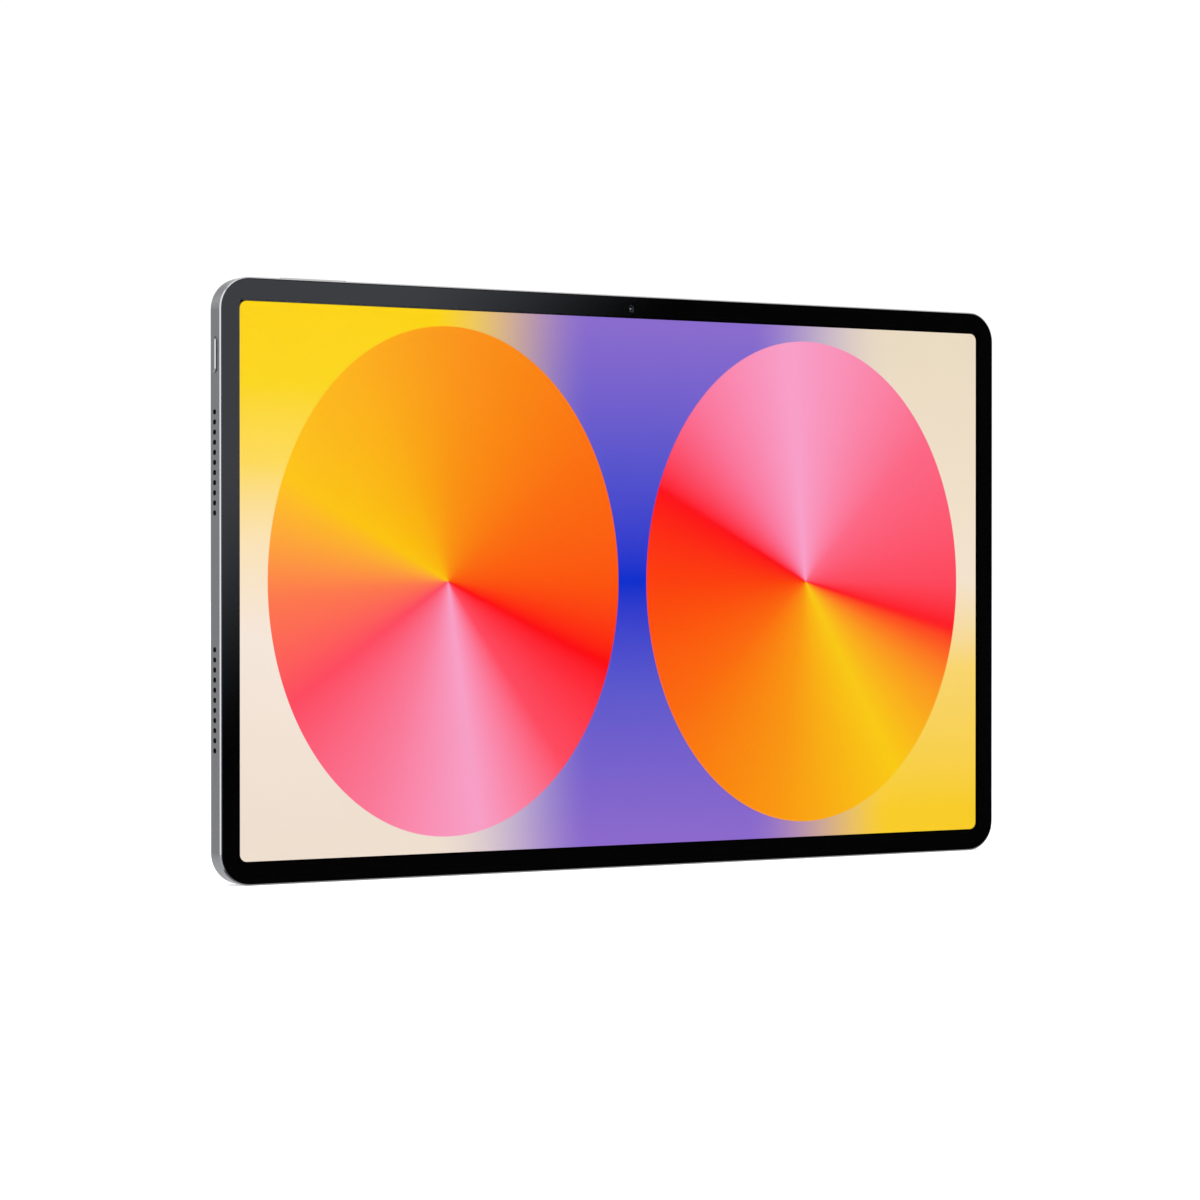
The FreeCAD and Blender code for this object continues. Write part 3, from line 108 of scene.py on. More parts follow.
class Tree:
    """Short calls that build a node tree."""

    def __init__(self, owner):
        owner.use_nodes = True
        self.nodes = owner.node_tree.nodes
        self.links = owner.node_tree.links
        self.nodes.clear()

    def add(self, kind, inputs=None, out=0, **props):
        """A node with its inputs set or linked. Gives one of its outputs."""
        node = self.nodes.new(kind)
        for key, value in props.items():
            setattr(node, key, value)
        for key, value in (inputs or {}).items():
            if isinstance(value, bpy.types.NodeSocket):
                self.links.new(value, node.inputs[key])
            else:
                node.inputs[key].default_value = value
        return node.outputs[out] if node.outputs else node

    def math(self, operation, first, second=0.0, third=0.0):
        return self.add("ShaderNodeMath", {0: first, 1: second, 2: third}, operation=operation)

    def fade(self, value, low, high, start=0.0, end=1.0, kind="SMOOTHSTEP"):
        """Goes from start to end as value goes from low to high."""
        inputs = {"Value": value, "From Min": low, "From Max": high, "To Min": start, "To Max": end}
        return self.add("ShaderNodeMapRange", inputs, interpolation_type=kind)

    def mix(self, factor, first, second):
        """A blend of two colours."""
        return self.add("ShaderNodeMix", {0: factor, 6: first, 7: second}, out=2, data_type="RGBA")

    def ramp(self, factor, stops):
        """Colours along a factor, as (place, colour) stops."""
        node = self.nodes.new("ShaderNodeValToRGB")
        self.links.new(factor, node.inputs[0])
        elements = node.color_ramp.elements
        for element, (place, colour) in zip(elements, (stops[0], stops[-1])):
            element.position = place
            element.color = colour
        for place, colour in stops[1:-1]:
            elements.new(place).color = colour
        return node.outputs[0]

    def place(self):
        """Where a point is, in the part's frame."""
        return self.add("ShaderNodeTexCoord", out="Object")

    def parts(self, vector):
        """The X, Y and Z of a vector."""
        node = self.nodes.new("ShaderNodeSeparateXYZ")
        self.links.new(vector, node.inputs[0])
        return node.outputs[0], node.outputs[1], node.outputs[2]

    def normal_parts(self):
        return self.parts(self.add("ShaderNodeTexCoord", out="Normal"))

    def noise(self, scale, detail=3.0, rough=0.55, stretch=None):
        """Smooth noise, with scale in cells a metre."""
        where = self.place()
        if stretch:
            where = self.add("ShaderNodeMapping", {0: where, 3: stretch})
        inputs = {"Vector": where, "Scale": scale, "Detail": detail, "Roughness": rough}
        return self.add("ShaderNodeTexNoise", inputs)

    def bump(self, height, strength, distance):
        """A normal bent by a height."""
        inputs = {"Strength": strength, "Distance": distance, "Height": height}
        return self.add("ShaderNodeBump", inputs)

    def edge(self, width):
        """Near 1 along sharp edges, and 0 on open faces."""
        soft = self.add("ShaderNodeBevel", {"Radius": width}, samples=4)
        true = self.add("ShaderNodeNewGeometry", out="Normal")
        along = self.add("ShaderNodeVectorMath", {0: soft, 1: true}, out=1, operation="DOT_PRODUCT")
        return self.fade(along, 0.995, 0.85)

    def principled(self, **inputs):
        """The one shader of most finishes. Underscores in names stand for spaces."""
        named = {key.replace("_", " "): value for key, value in inputs.items()}
        return self.add("ShaderNodeBsdfPrincipled", named)

    def finish(self, shader):
        self.add("ShaderNodeOutputMaterial", {0: shader})


def material(name):
    """A new material and its empty tree."""
    made = bpy.data.materials.new(name)
    return made, Tree(made)


# --- finishes -----------------------------------------------------------------------------

def metal(name, polished):
    """Bead-blasted, anodised aluminium with cut, polished chamfers. polished(tree) gives where."""
    made, tree = material(name)
    grain = tree.noise(7000, 2)
    patches = tree.noise(38, 4)
    cut = polished(tree)
    worn = tree.edge(0.12 * MM)
    blasted = tree.mix(patches, (0.205, 0.207, 0.22, 1), (0.24, 0.243, 0.258, 1))
    speckled = tree.mix(tree.fade(grain, 0.35, 0.7), blasted, (0.26, 0.263, 0.278, 1))
    bright = tree.mix(cut, speckled, (0.325, 0.316, 0.312, 1))
    colour = tree.mix(tree.math("MULTIPLY", worn, 0.3), bright, (0.45, 0.44, 0.44, 1))
    rough = tree.fade(patches, 0.3, 0.7, 0.27, 0.35)
    rough = tree.fade(cut, 0.0, 1.0, rough, 0.18)
    height = tree.math("MULTIPLY", grain, tree.fade(cut, 0.0, 1.0, 1.0, 0.05))
    tree.finish(tree.principled(
        Base_Color=colour, Metallic=1.0, Roughness=rough,
        Normal=tree.bump(height, 0.08, 0.01 * MM)))
    return made


def front_chamfer(tree):
    """The slanted faces near the front."""
    slant = tree.math("ABSOLUTE", tree.normal_parts()[1])
    band = tree.math("MULTIPLY", tree.fade(slant, 0.5, 0.6), tree.fade(slant, 0.9, 0.8))
    depth = tree.parts(tree.place())[1]
    return tree.math("MULTIPLY", band, tree.fade(depth, FRONT + 0.6 * MM, FRONT + 0.5 * MM))


def any_chamfer(tree):
    """The slanted faces of a key or a plate, which all lie between the main directions."""
    sizes = [tree.math("ABSOLUTE", part) for part in tree.normal_parts()]
    largest = tree.math("MAXIMUM", tree.math("MAXIMUM", sizes[0], sizes[1]), sizes[2])
    return tree.fade(largest, 0.86, 0.76)


def moulded(name, colour, second, grain, rough, metallic=0.0, depth=0.01, wear=None, **more):
    """A solid finish with grain, colour and roughness that vary, and lighter or darker edges."""
    made, tree = material(name)
    fine = tree.noise(grain, 4)
    broad = tree.noise(grain / 90 + 20, 3)
    tone = tree.mix(tree.fade(fine, 0.3, 0.7), colour, second)
    tone = tree.mix(tree.fade(broad, 0.35, 0.75, 0.0, 0.4), tone, colour)
    if wear:
        tone = tree.mix(tree.math("MULTIPLY", tree.edge(0.1 * MM), 0.5), tone, wear)
    spread = tree.fade(broad, 0.3, 0.7, rough[0], rough[1])
    tree.finish(tree.principled(
        Base_Color=tone, Metallic=metallic, Roughness=spread,
        Normal=tree.bump(fine, 0.25, depth * MM), **more))
    return made


def sheet_glass(tree, rough, tint, quiet=None):
    """Clear glass too thin to bend light: its front mirrors by angle, less where quiet is 1."""
    clear = tree.add("ShaderNodeBsdfTransparent", {0: tint})
    mirror = tree.add("ShaderNodeBsdfGlossy", {"Roughness": rough})
    share = tree.add("ShaderNodeFresnel", {"IOR": 1.5})
    behind = tree.add("ShaderNodeNewGeometry", out="Backfacing")
    share = tree.math("MULTIPLY", share, tree.math("SUBTRACT", 1.0, behind))
    if quiet is not None:
        share = tree.math("MULTIPLY", share, tree.fade(quiet, 0.0, 1.0, 1.0, 0.2))
    return tree.add("ShaderNodeMixShader", {0: share, 1: clear, 2: mirror})


def inside(tree, where, low, high, inset, soft):
    """1 within an upright rectangle, inset from a box's sides, and 0 outside it."""
    across, _, up = tree.parts(where)
    sides = [
        tree.fade(across, low.x + inset - soft, low.x + inset + soft),
        tree.fade(across, high.x - inset + soft, high.x - inset - soft),
        tree.fade(up, low.z + inset - soft, low.z + inset + soft),
        tree.fade(up, high.z - inset + soft, high.z - inset - soft)]
    share = sides[0]
    for side in sides[1:]:
        share = tree.math("MULTIPLY", share, side)
    return share


def within(tree, where, centre, half, soft=0.08 * MM):
    """1 inside an upright oval, given its half width and half height, 0 outside."""
    across, _, up = tree.parts(where)
    right = tree.math("DIVIDE", tree.math("SUBTRACT", across, centre[0]), half[0])
    above = tree.math("DIVIDE", tree.math("SUBTRACT", up, centre[1]), half[1])
    square = tree.math("ADD", tree.math("MULTIPLY", right, right), tree.math("MULTIPLY", above, above))
    edge = soft / half[0]
    return tree.fade(tree.math("SQRT", square), 1 + edge, 1 - edge)


def front_glass():
    """The cover glass: its border is black all through, apart from the front camera's peephole.

    Over the lit area it's clear, with faint smudges and a coating that quietens its mirror."""
    made, tree = material("front_glass")
    smudge = tree.noise(26, 6, 0.62, (1.0, 1.0, 0.45))
    rough = tree.fade(smudge, 0.45, 0.75, 0.012, 0.04)
    tint = tree.mix(tree.noise(9, 2), (0.985, 0.99, 0.99, 1), (1, 1, 1, 1))
    low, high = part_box("optical_adhesive")
    where = tree.place()
    lit = inside(tree, where, low, high, LCD_EDGE, 0.1 * MM)
    clear = inside(tree, where, low, high, LCD_EDGE / 2, 0.05 * MM)
    peephole = within(tree, where, centre_of("front_camera")[:2], (PEEPHOLE_R, PEEPHOLE_R), 0.03 * MM)
    clear = tree.math("MAXIMUM", clear, peephole)
    border = tree.principled(
        Base_Color=tree.mix(smudge, grey(0.0006), grey(0.0014)), Roughness=rough, IOR=1.5)
    glass = sheet_glass(tree, rough, tint, lit)
    tree.finish(tree.add("ShaderNodeMixShader", {0: clear, 1: border, 2: glass}))
    return made


def bond_layer():
    """The clear bond: nearly invisible, with a trace of unevenness."""
    made, tree = material("bond_layer")
    tint = tree.mix(tree.noise(40, 3), grey(0.985), grey(1.0))
    tree.finish(tree.add("ShaderNodeBsdfTransparent", {0: tint}))
    return made


def sweep(tree, where, centre, colours):
    """Colours that turn once round a centre, as (degrees, colour) from the right, anticlockwise."""
    across, _, up = tree.parts(where)
    right = tree.math("SUBTRACT", across, centre[0])
    above = tree.math("SUBTRACT", up, centre[1])
    angle = tree.math("ARCTAN2", above, right)
    turn = tree.math("FRACT", tree.math("ADD", tree.math("DIVIDE", angle, math.tau), 1.0))
    stops = [(degrees / 360, linear(*colour)) for degrees, colour in colours]
    return tree.ramp(turn, stops)


def screen():
    """The lit screen: two plain upright ovals of turning colour on a soft background."""
    made, tree = material("screen_picture")
    low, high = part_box("lcd_panel")
    middle = (low.z + high.z) / 2
    half = (high.z - low.z) / 2
    where = tree.place()
    across, _, up = tree.parts(where)
    rise = tree.fade(up, low.z, high.z, kind="LINEAR")
    warm = tree.ramp(rise, [
        (0.05, linear(240, 224, 208)), (0.4, linear(248, 232, 220)), (0.56, linear(252, 228, 186)),
        (0.71, linear(254, 218, 88)), (0.85, linear(253, 214, 16)), (0.97, linear(254, 212, 2))])
    cool = tree.ramp(rise, [
        (0.02, linear(140, 106, 205)), (0.3, linear(92, 88, 205)), (0.5, linear(5, 45, 205)),
        (0.72, linear(88, 84, 205)), (0.98, linear(138, 108, 206))])
    pale = tree.ramp(rise, [
        (0.05, linear(250, 205, 40)), (0.33, linear(250, 214, 110)),
        (0.5, linear(246, 228, 205)), (0.95, linear(236, 220, 196))])
    warm_ends, cool_starts = -62 * MM, -12 * MM
    cool_ends, pale_starts = 38 * MM, 88 * MM
    ground = tree.mix(tree.fade(across, warm_ends, cool_starts), warm, cool)
    ground = tree.mix(tree.fade(across, cool_ends, pale_starts), ground, pale)
    left = (-57 * MM, middle)
    right = (58 * MM, middle)
    oval = (53 * MM, half * 0.93)
    first = sweep(tree, where, left, [
        (0, (254, 84, 8)), (40, (253, 112, 10)), (85, (253, 146, 12)), (118, (254, 178, 8)),
        (150, (255, 196, 6)), (185, (255, 120, 76)), (215, (255, 74, 96)), (250, (252, 122, 154)),
        (278, (250, 160, 200)), (305, (255, 74, 96)), (335, (255, 4, 12)), (360, (254, 84, 8))])
    second = sweep(tree, where, right, [
        (0, (255, 72, 92)), (45, (254, 104, 134)), (95, (250, 160, 202)), (125, (252, 118, 156)),
        (152, (255, 10, 20)), (180, (254, 62, 6)), (220, (253, 106, 8)), (262, (252, 152, 14)),
        (300, (252, 202, 18)), (325, (253, 150, 30)), (345, (255, 22, 32)), (360, (255, 72, 92))])
    picture = tree.mix(within(tree, where, left, oval), ground, first)
    picture = tree.mix(within(tree, where, right, oval), picture, second)
    facing = tree.fade(tree.normal_parts()[1], -0.5, -0.9)
    lit = tree.mix(facing, grey(0.0), picture)
    cells = tree.noise(5200, 1)
    tree.finish(tree.principled(
        Base_Color=tree.mix(cells, grey(0.001), grey(0.003)),
        Roughness=tree.fade(cells, 0.3, 0.7, 0.25, 0.35), Specular_IOR_Level=0.03,
        Emission_Color=lit, Emission_Strength=1.02))
    return made


def optics(name, tint, painted_reflection_colour, index=1.6):
    """Coated lens glass over a dark barrel: black and very smooth, with a coloured bloom that is painted
    reflection: a lighter blue base colour where the glass faces the viewer stands in for the coating's
    reflection.
    """
    made, tree = material(name)
    dust = tree.noise(3000, 2)
    facing = tree.add("ShaderNodeLayerWeight", {"Blend": 0.35}, out="Facing")
    # Painted reflection: the lighter blue colour where the glass faces the viewer, and the dark tint towards
    # grazing angles.
    painted_coating_reflection = tree.mix(facing, painted_reflection_colour, tint)
    tree.finish(tree.principled(
        Base_Color=painted_coating_reflection, Roughness=tree.fade(dust, 0.4, 0.8, 0.03, 0.09),
        Coat_Weight=1.0, Coat_Roughness=0.02, Coat_IOR=index, IOR=1.6,
        Normal=tree.bump(dust, 0.03, 0.002 * MM)))
    return made


def camera_pane():
    """The rear window: black print behind clear glass, left open over the lens and the flash."""
    made, tree = material("camera_pane")
    where = tree.place()
    open_over = None
    for node, radius in (("rear_camera_lens", 3.1 * MM), ("flash_module", 2.1 * MM)):
        disc = within(tree, where, centre_of(node)[:2], (radius, radius), 0.04 * MM)
        open_over = disc if open_over is None else tree.math("MAXIMUM", open_over, disc)
    smear = tree.noise(60, 5)
    printed = tree.principled(
        Base_Color=tree.mix(smear, grey(0.004), grey(0.009)),
        Roughness=tree.fade(smear, 0.4, 0.7, 0.04, 0.1), Coat_Weight=0.5)
    glass = sheet_glass(tree, tree.fade(smear, 0.4, 0.7, 0.01, 0.05), tree.mix(smear, grey(0.97), grey(1.0)))
    tree.finish(tree.add("ShaderNodeMixShader", {0: open_over, 1: printed, 2: glass}))
    return made


def board_finish():
    """Solder resist over copper: darker green between lighter tracks, with bare edges."""
    made, tree = material("circuit_board")
    where = tree.place()
    across, _, up = tree.parts(where)
    track_pitch = 1.1 * MM
    row_pitch = 4 * MM
    wander = tree.math("MULTIPLY", tree.noise(160, 2), 4 * MM)
    tracks = tree.math("MULTIPLY", tree.math("ADD", across, wander), math.tau / track_pitch)
    rows = tree.math("MULTIPLY", tree.math("ADD", up, wander), math.tau / row_pitch)
    tracks = tree.math("SINE", tracks)
    rows = tree.math("SINE", rows)
    line = tree.fade(tree.math("MULTIPLY", tracks, rows), 0.25, 0.35)
    colour = tree.mix(line, (0.008, 0.06, 0.03, 1), (0.02, 0.13, 0.06, 1))
    colour = tree.mix(tree.edge(0.1 * MM), colour, (0.35, 0.28, 0.14, 1))
    tree.finish(tree.principled(
        Base_Color=colour, Roughness=tree.fade(tree.noise(900), 0.3, 0.7, 0.25, 0.4),
        Normal=tree.bump(line, 0.4, 0.03 * MM)))
    return made


def floor_finish():
    """Pale studio paper on a light table."""
    made, tree = material("studio_paper")
    fibre = tree.noise(420, 5)
    tree.finish(tree.principled(
        Base_Color=tree.mix(fibre, grey(0.87), grey(0.9)), Roughness=0.85,
        Specular_IOR_Level=0.05, Normal=tree.bump(fibre, 0.05, 0.05 * MM),
        Emission_Color=grey(1.0), Emission_Strength=0.5))
    return made


def slot_finishes():
    """One finish for each of the record's material slots."""
    return {
        "body_metal": metal("blasted_aluminium", front_chamfer),
        "strip_plastic": moulded("strip_plastic", grey(0.21), (0.235, 0.235, 0.25, 1), 5000, (0.42, 0.55),
                                 depth=0.006, wear=grey(0.3)),
        "cover_glass": front_glass(),
        "black_print": moulded("black_print", grey(0.0006), grey(0.0014), 3000, (0.5, 0.7),
                               depth=0.001, Specular_IOR_Level=0.02),
        "foam_tape": moulded("foam_tape", grey(0.015), grey(0.03), 2500, (0.8, 0.95), depth=0.05),
        "clear_bond": bond_layer(),
        "display": screen(),
        "light_films": moulded("light_films", grey(0.78), grey(0.86), 4000, (0.3, 0.45), depth=0.004),
        "white_plastic": moulded("white_plastic", grey(0.72), grey(0.8), 2600, (0.4, 0.6), wear=grey(0.9)),
        "lamp_strip": moulded("lamp_strip", (0.75, 0.7, 0.45, 1), (0.85, 0.8, 0.6, 1), 1800, (0.2, 0.4)),
        "steel": moulded("stamped_steel", grey(0.5), grey(0.6), 2400, (0.22, 0.38), 1.0, 0.006, grey(0.75)),
        "carrier_plastic": moulded("carrier_plastic", grey(0.018), grey(0.032), 2200, (0.45, 0.7), depth=0.02,
                                   wear=grey(0.06)),
        "flexible_circuit": moulded("flexible_circuit", (0.2, 0.09, 0.025, 1), (0.28, 0.13, 0.04, 1), 1500,
                                    (0.25, 0.4), depth=0.01, wear=(0.45, 0.25, 0.1, 1)),
        "antenna_copper": moulded("antenna_copper", (0.62, 0.3, 0.16, 1), (0.72, 0.4, 0.24, 1), 2600,
                                  (0.25, 0.45), 1.0, 0.008, (0.85, 0.55, 0.4, 1)),
        "circuit_board": board_finish(),
        "chip_black": moulded("chip_black", grey(0.012), grey(0.022), 3800, (0.5, 0.7), wear=grey(0.05)),
        "camera_black": moulded("camera_black", grey(0.006), grey(0.013), 4200, (0.3, 0.5), depth=0.006,
                                wear=grey(0.04)),
        "camera_glass": camera_pane(),
        "flash_resin": moulded("flash_resin", (0.78, 0.72, 0.48, 1), (0.88, 0.84, 0.66, 1), 2100, (0.1, 0.25),
                               depth=0.01, Coat_Weight=0.6),
        "switch_plastic": moulded("switch_plastic", grey(0.03), grey(0.05), 2400, (0.4, 0.6), wear=grey(0.1)),
        "battery_pouch": moulded("battery_pouch", grey(0.3), grey(0.36), 900, (0.3, 0.5), 0.7, 0.04,
                                 grey(0.5)),
        "speaker_plastic": moulded("speaker_plastic", grey(0.014), grey(0.026), 2600, (0.5, 0.75),
                                   depth=0.02, wear=grey(0.05)),
        "grille_mesh": moulded("grille_mesh", grey(0.05), grey(0.1), 6500, (0.35, 0.5), 1.0, 0.01, grey(0.2)),
    }


FINISHES = slot_finishes()
EXTRA = {
    "key": metal("key_aluminium", any_chamfer),
    # For each lens the dark colour is the glass's own, and the lighter blue one is its painted reflection of
    # the coating.
    "selfie": optics("front_lens_glass", (0.002, 0.003, 0.007, 1), (0.05, 0.07, 0.13, 1), 2.2),
    "barrel": moulded("front_barrel", grey(0.002), grey(0.005), 4200, (0.4, 0.6), depth=0.004),
    "rear": optics("rear_lens_glass", (0.004, 0.005, 0.01, 1), (0.02, 0.03, 0.08, 1)),
    "gold": moulded("contact_gold", (0.85, 0.56, 0.2, 1), (0.95, 0.68, 0.3, 1), 3000, (0.15, 0.3), 1.0,
                    0.004),
}


def give(item, finish):
    """Make a finish the only one of an object."""
    item.data.materials.clear()
    item.data.materials.append(finish)


def paint_nodes():
    """Give every CAD node the finish of its slot. Keys, tray and camera plate are cut all round."""
    slots = {part["node"]: part["material_slot"] for part in frame["record"]["subparts"]}
    for name, item in frame["nodes"].items():
        give(item, FINISHES[slots[name]])
    for name in ("power_button", "volume_rocker", "card_tray", "camera_plate"):
        give(frame["nodes"][name], EXTRA["key"])


# --- added pieces -------------------------------------------------------------------------

def new_piece(name, shape, finish, body, smooth=True):
    """Turn a bmesh into an object that rides on a body."""
    bmesh.ops.recalc_face_normals(shape, faces=shape.faces)
    data = bpy.data.meshes.new(name)
    shape.to_mesh(data)
    shape.free()
    item = bpy.data.objects.new(name, data)
    bpy.context.scene.collection.objects.link(item)
    give(item, finish)
    if smooth:
        data.polygons.foreach_set("use_smooth", [True] * len(data.polygons))
        data.set_sharp_from_angle(angle=math.radians(35))
    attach(item, body)
    return item


def lathe(name, x, z, start, outward, profile, finish, body, steps=64):
    """A turned piece on an axis along Y. profile is (radius, height) in millimetres, from the
    middle of the top round to the middle of the base, with heights measured outward from start."""
    shape = bmesh.new()
    rings = []
    for radius, height in profile:
        y = start + outward * height * MM
        if radius == 0:
            rings.append([shape.verts.new((x, y, z))])
            continue
        rings.append([
            shape.verts.new((x + radius * MM * math.cos(turn), y, z + radius * MM * math.sin(turn)))
            for turn in (math.tau * step / steps for step in range(steps))])
    for inner, outer in zip(rings, rings[1:]):
        for step in range(steps):
            corners = [ring[(step + shift) % len(ring)] for ring, shift in
                       ((inner, 0), (inner, 1), (outer, 1), (outer, 0))]
            unique = list(dict.fromkeys(corners))
            if len(unique) > 2:
                shape.faces.new(unique)
    return new_piece(name, shape, finish, body)


def add_box(shape, low, high, bevel):
    """A box with small bevels on every edge."""
    made = bmesh.ops.create_cube(shape, size=1.0)["verts"]
    size = Vector(high) - Vector(low)
    middle = (Vector(high) + Vector(low)) / 2
    for vert in made:
        vert.co = Vector([c * s + m for c, s, m in zip(vert.co, size, middle)])
    edges = list({edge for vert in made for edge in vert.link_edges})
    bmesh.ops.bevel(shape, geom=edges, offset=bevel, segments=2, affect="EDGES", profile=0.6)


def dome(radius, rise, points=10):
    """Points of a shallow dome from its top out to its rim."""
    return [
        (radius * math.sin(math.pi / 2 * step / points), rise * math.cos(math.pi / 2 * step / points))
        for step in range(points + 1)]


def front_lens():
    """The front camera's optics: a round coated lens in a black stepped barrel mouth."""
    x, z, low, _ = centre_of("front_camera")
    well = 0.24
    glass = [(radius, height - well) for radius, height in dome(0.44, 0.22)]
    glass += [(0.44, -well), (0, -well)]
    lathe("front_lens", x, z, low, -1, glass, EXTRA["selfie"], ROOT)
    ring = [(0.46, -well), (0.47, 0.005 - well), (0.5, 0.06 - well), (0.6, 0.07 - well), (0.62, 0.14 - well),
            (0.76, 0.17 - well), (0.8, 0.2 - well), (0.82, 0.2 - well), (0.82, -well), (0.46, -well)]
    lathe("front_barrel_mouth", x, z, low, -1, ring, EXTRA["barrel"], ROOT)


def rear_lens():
    """The rear camera's front element and the ribbed mouth of its barrel."""
    x, z, _, high = centre_of("rear_camera_lens")
    cup = 0.39
    profile = [(radius, height - cup) for radius, height in dome(1.15, 0.3, 14)]
    profile.append((1.2, 0.01 - cup))
    for rib in range(4):
        start = 1.24 + rib * 0.15
        rise = 0.06 + rib * 0.07
        profile += [(start, rise - cup), (start + 0.09, rise + 0.02 - cup), (start + 0.11, rise - 0.02 - cup)]
    profile += [(1.84, 0.3 - cup), (1.84, -cup), (0, -cup)]
    lathe("rear_lens", x, z, high, 1, profile, EXTRA["rear"], "focus_lens")


def lens_trim():
    """A thin turned ring between the lens and the edge of the camera opening."""
    x, z, _, _ = centre_of("rear_camera_lens")
    seat = 6.95 * MM
    profile = [(3.2, 0.05), (3.24, 0.33), (3.28, 0.36), (3.55, 0.36), (3.6, 0.32), (3.62, 0.26),
               (3.62, 0.0), (3.24, 0.0), (3.2, 0.05)]
    lathe("lens_trim", x, z, FRONT + seat, 1, profile, FINISHES["steel"], ROOT, 96)


def flash_lens():
    """The flash's moulded lens, with rings like a small lighthouse lens."""
    x, z, _, high = centre_of("flash_module")
    profile = [(0, 0.07), (0.2, 0.066), (0.38, 0.055)]
    for ring in range(6):
        start = 0.4 + ring * 0.24
        profile += [(start, 0.02), (start + 0.03, 0.07), (start + 0.22, 0.03)]
    profile += [(1.86, 0.07), (1.95, 0.06), (1.96, 0.004), (0, 0.004)]
    lathe("flash_lens", x, z, high, 1, profile, FINISHES["flash_resin"], ROOT)


def socket_contacts():
    """Twelve gold contacts on each face of the charging socket's tongue."""
    low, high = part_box("usb_c_tongue")
    middle_y = (low.y + high.y) / 2
    middle_z = (low.z + high.z) / 2
    count = 12
    pitch = 0.5 * MM
    half_width = 0.13 * MM
    tip = 0.35 * MM
    power_pins = (0, 3, 8, 11)
    shape = bmesh.new()
    for face in (-1, 1):
        inner = middle_y + face * 0.352 * MM
        outer = middle_y + face * 0.385 * MM
        for place in range(count):
            z = middle_z + (place - (count - 1) / 2) * pitch
            long = 4.6 * MM if place in power_pins else 4.0 * MM
            add_box(shape, (high.x - long, min(inner, outer), z - half_width),
                    (high.x - tip, max(inner, outer), z + half_width), 0.012 * MM)
    new_piece("socket_contacts", shape, EXTRA["gold"], ROOT)


def woven_grilles():
    """Wire mesh behind each row of speaker slots, in place of its plain sheet."""
    for node in sorted(name for name in frame["nodes"] if name.startswith("speaker_mesh")):
        low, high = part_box(node)
        wire = 0.035 * MM
        pitch = 0.16 * MM
        x = (low.x + high.x) / 2
        shape = bmesh.new()
        for number in range(int((high.z - low.z) / pitch) + 1):
            z = low.z + wire + number * pitch
            if z + wire < high.z:
                add_box(shape, (x - 2 * wire, low.y, z - wire), (x, high.y, z + wire), wire / 3)
        for number in range(int((high.y - low.y) / pitch) + 1):
            y = low.y + wire + number * pitch
            if y + wire < high.y:
                add_box(shape, (x, y - wire, low.z), (x + 2 * wire, y + wire, high.z), wire / 3)
        woven = new_piece(node.replace("speaker_mesh", "grille"), shape, FINISHES["grille_mesh"], ROOT)
        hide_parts(node)


def clear_bond():
    """The clear bond behind the glass, with a hair's gap to the faces that it joins."""
    low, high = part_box("optical_adhesive")
    shape = bmesh.new()
    gap = 0.02 * MM
    inset = 1 * MM
    add_box(shape, (low.x + inset, low.y + gap, low.z + inset),
            (high.x - inset, high.y - gap, high.z - inset), gap)
    bond = new_piece("clear_bond_layer", shape, FINISHES["clear_bond"], ROOT)
    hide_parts("optical_adhesive")


# --- studio -------------------------------------------------------------------------------

def floor():
    """A wide pale floor that the tablet stands on. It isn't seen in mirrored rays."""
    reach = 12.0
    drop = 0.02 * MM
    shape = bmesh.new()
    bmesh.ops.create_grid(shape, x_segments=24, y_segments=24, size=reach)
    data = bpy.data.meshes.new("studio_floor")
    shape.to_mesh(data)
    shape.free()
    item = bpy.data.objects.new("studio_floor", data)
    item.location.z = -drop
    item.visible_glossy = False
    bpy.context.scene.collection.objects.link(item)
    give(item, floor_finish())


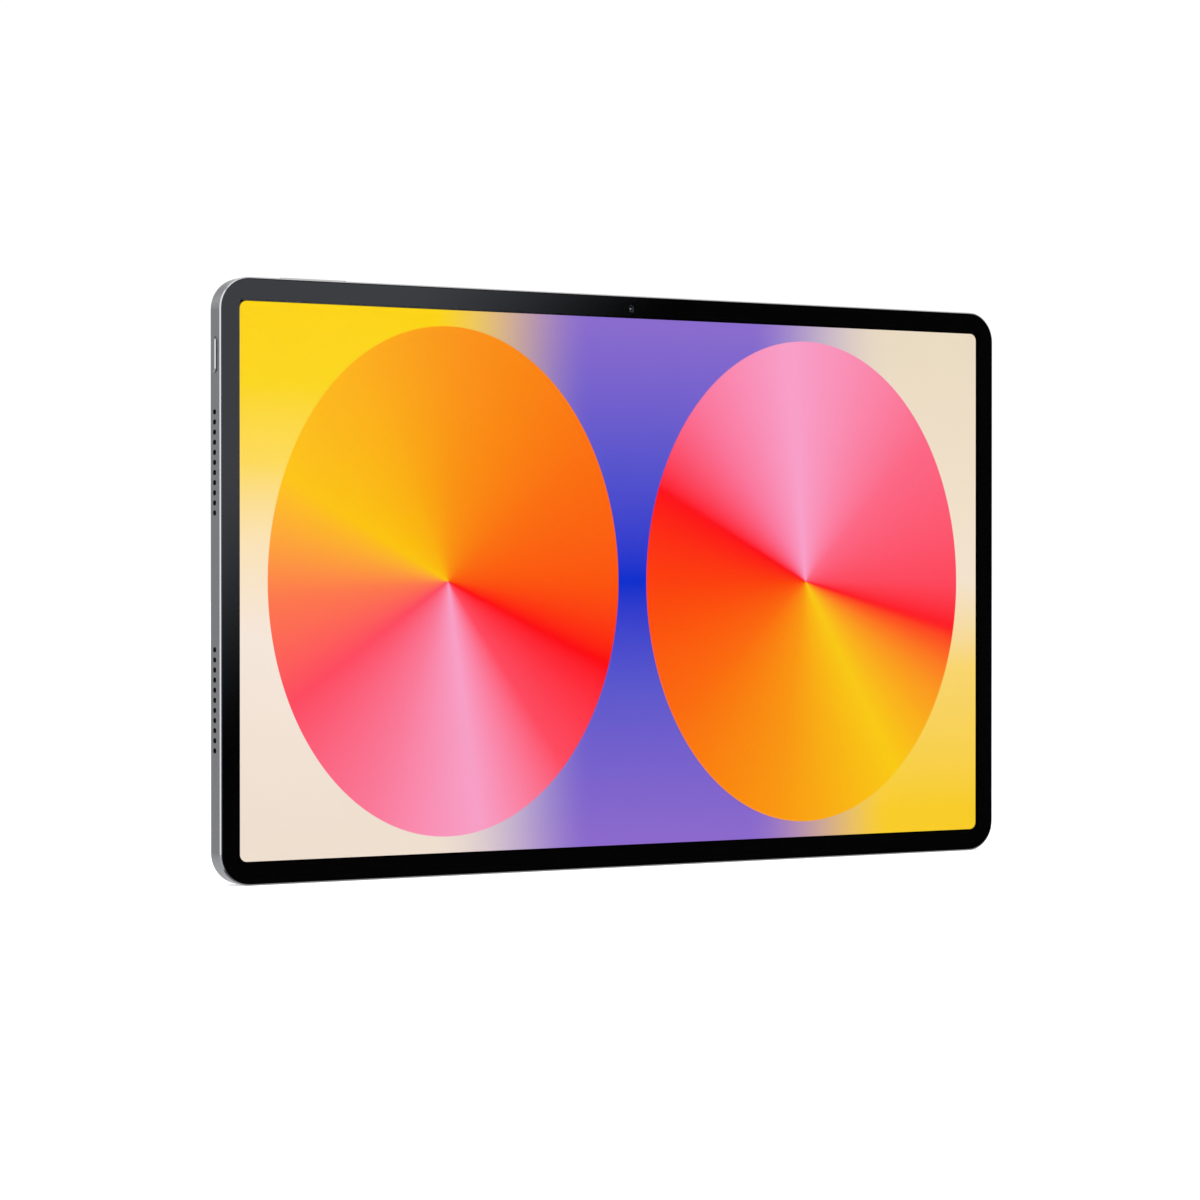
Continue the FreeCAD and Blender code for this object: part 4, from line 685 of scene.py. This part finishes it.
def surroundings():
    """White studio, darker overhead and low on the left, with a dark, faintly blue screen in front.

    The screen brightens towards the upper left, which gives the black glass its soft sheen.
    The camera itself sees only plain white."""
    world = bpy.data.worlds.new("studio")
    bpy.context.scene.world = world
    tree = Tree(world)
    ray = tree.add("ShaderNodeTexCoord", out="Generated")
    sideways, along, up = tree.parts(ray)
    across = tree.add("ShaderNodeVectorMath", {0: ray, 1: SHEEN_FROM}, out=1, operation="DOT_PRODUCT")
    sheen = tree.math("MULTIPLY", tree.math("POWER", tree.fade(across, 0.018, 0.088), 1.3), 1.16)
    ahead = tree.fade(along, 0.05, -0.35)
    open_light = tree.fade(up, 0.25, 0.5, WALLS, 0.44)
    level = tree.math("ABSOLUTE", up)
    dip = tree.math("MULTIPLY", tree.fade(sideways, 0.15, -0.35), tree.fade(level, 0.3, 0.02))
    open_light = tree.math("MULTIPLY", open_light, tree.fade(dip, 0.0, 1.0, 1.0, 0.6))
    light = tree.add("ShaderNodeMix", {0: ahead, 2: open_light, 3: sheen}, data_type="FLOAT")
    seen = tree.add("ShaderNodeLightPath", out="Is Camera Ray")
    light = tree.add("ShaderNodeMix", {0: seen, 2: light, 3: WALLS}, data_type="FLOAT")
    dark_side = tree.math("MULTIPLY", ahead, tree.math("SUBTRACT", 1.0, seen))
    shade = tree.add("ShaderNodeBackground", {
        "Color": tree.mix(dark_side, grey(1.0), (0.94, 1.0, 1.13, 1)), "Strength": light})
    tree.add("ShaderNodeOutputWorld", {0: shade})


def softbox(name, place, aim, width, height, power):
    """A soft rectangular lamp that points at a place."""
    data = bpy.data.lights.new(name, "AREA")
    data.shape = "RECTANGLE"
    data.size = width
    data.size_y = height
    data.energy = power
    item = bpy.data.objects.new(name, data)
    item.location = place
    item.rotation_euler = (Vector(aim) - Vector(place)).to_track_quat("-Z", "Y").to_euler()
    bpy.context.scene.collection.objects.link(item)


def camera():
    """The camera, level and to the left of the tablet's front."""
    data = bpy.data.cameras.new("camera")
    data.lens = CAMERA_LENS
    data.sensor_width = SENSOR
    data.clip_start = 0.01
    data.clip_end = 60.0
    item = bpy.data.objects.new("camera", data)
    item.location = CAMERA_PLACE
    item.rotation_euler = (math.radians(90 + CAMERA_PITCH), 0.0, math.radians(-CAMERA_YAW))
    bpy.context.scene.collection.objects.link(item)
    bpy.context.scene.camera = item


paint_nodes()
front_lens()
rear_lens()
lens_trim()
flash_lens()
socket_contacts()
woven_grilles()
clear_bond()
floor()
surroundings()
softbox("overhead", (0.1, 0.1, 1.9), (0, 0, 0), 2.6, 2.6, 26)
softbox("key", (-1.35, -0.8, 0.62), (0, 0, 0.08), 1.2, 1.9, 9.5)
softbox("kicker", (-0.62, -0.56, 1.4), (0, 0, 0.1), 0.28, 0.28, 1.0)
camera()
bpy.context.scene.view_settings.view_transform = "Standard"
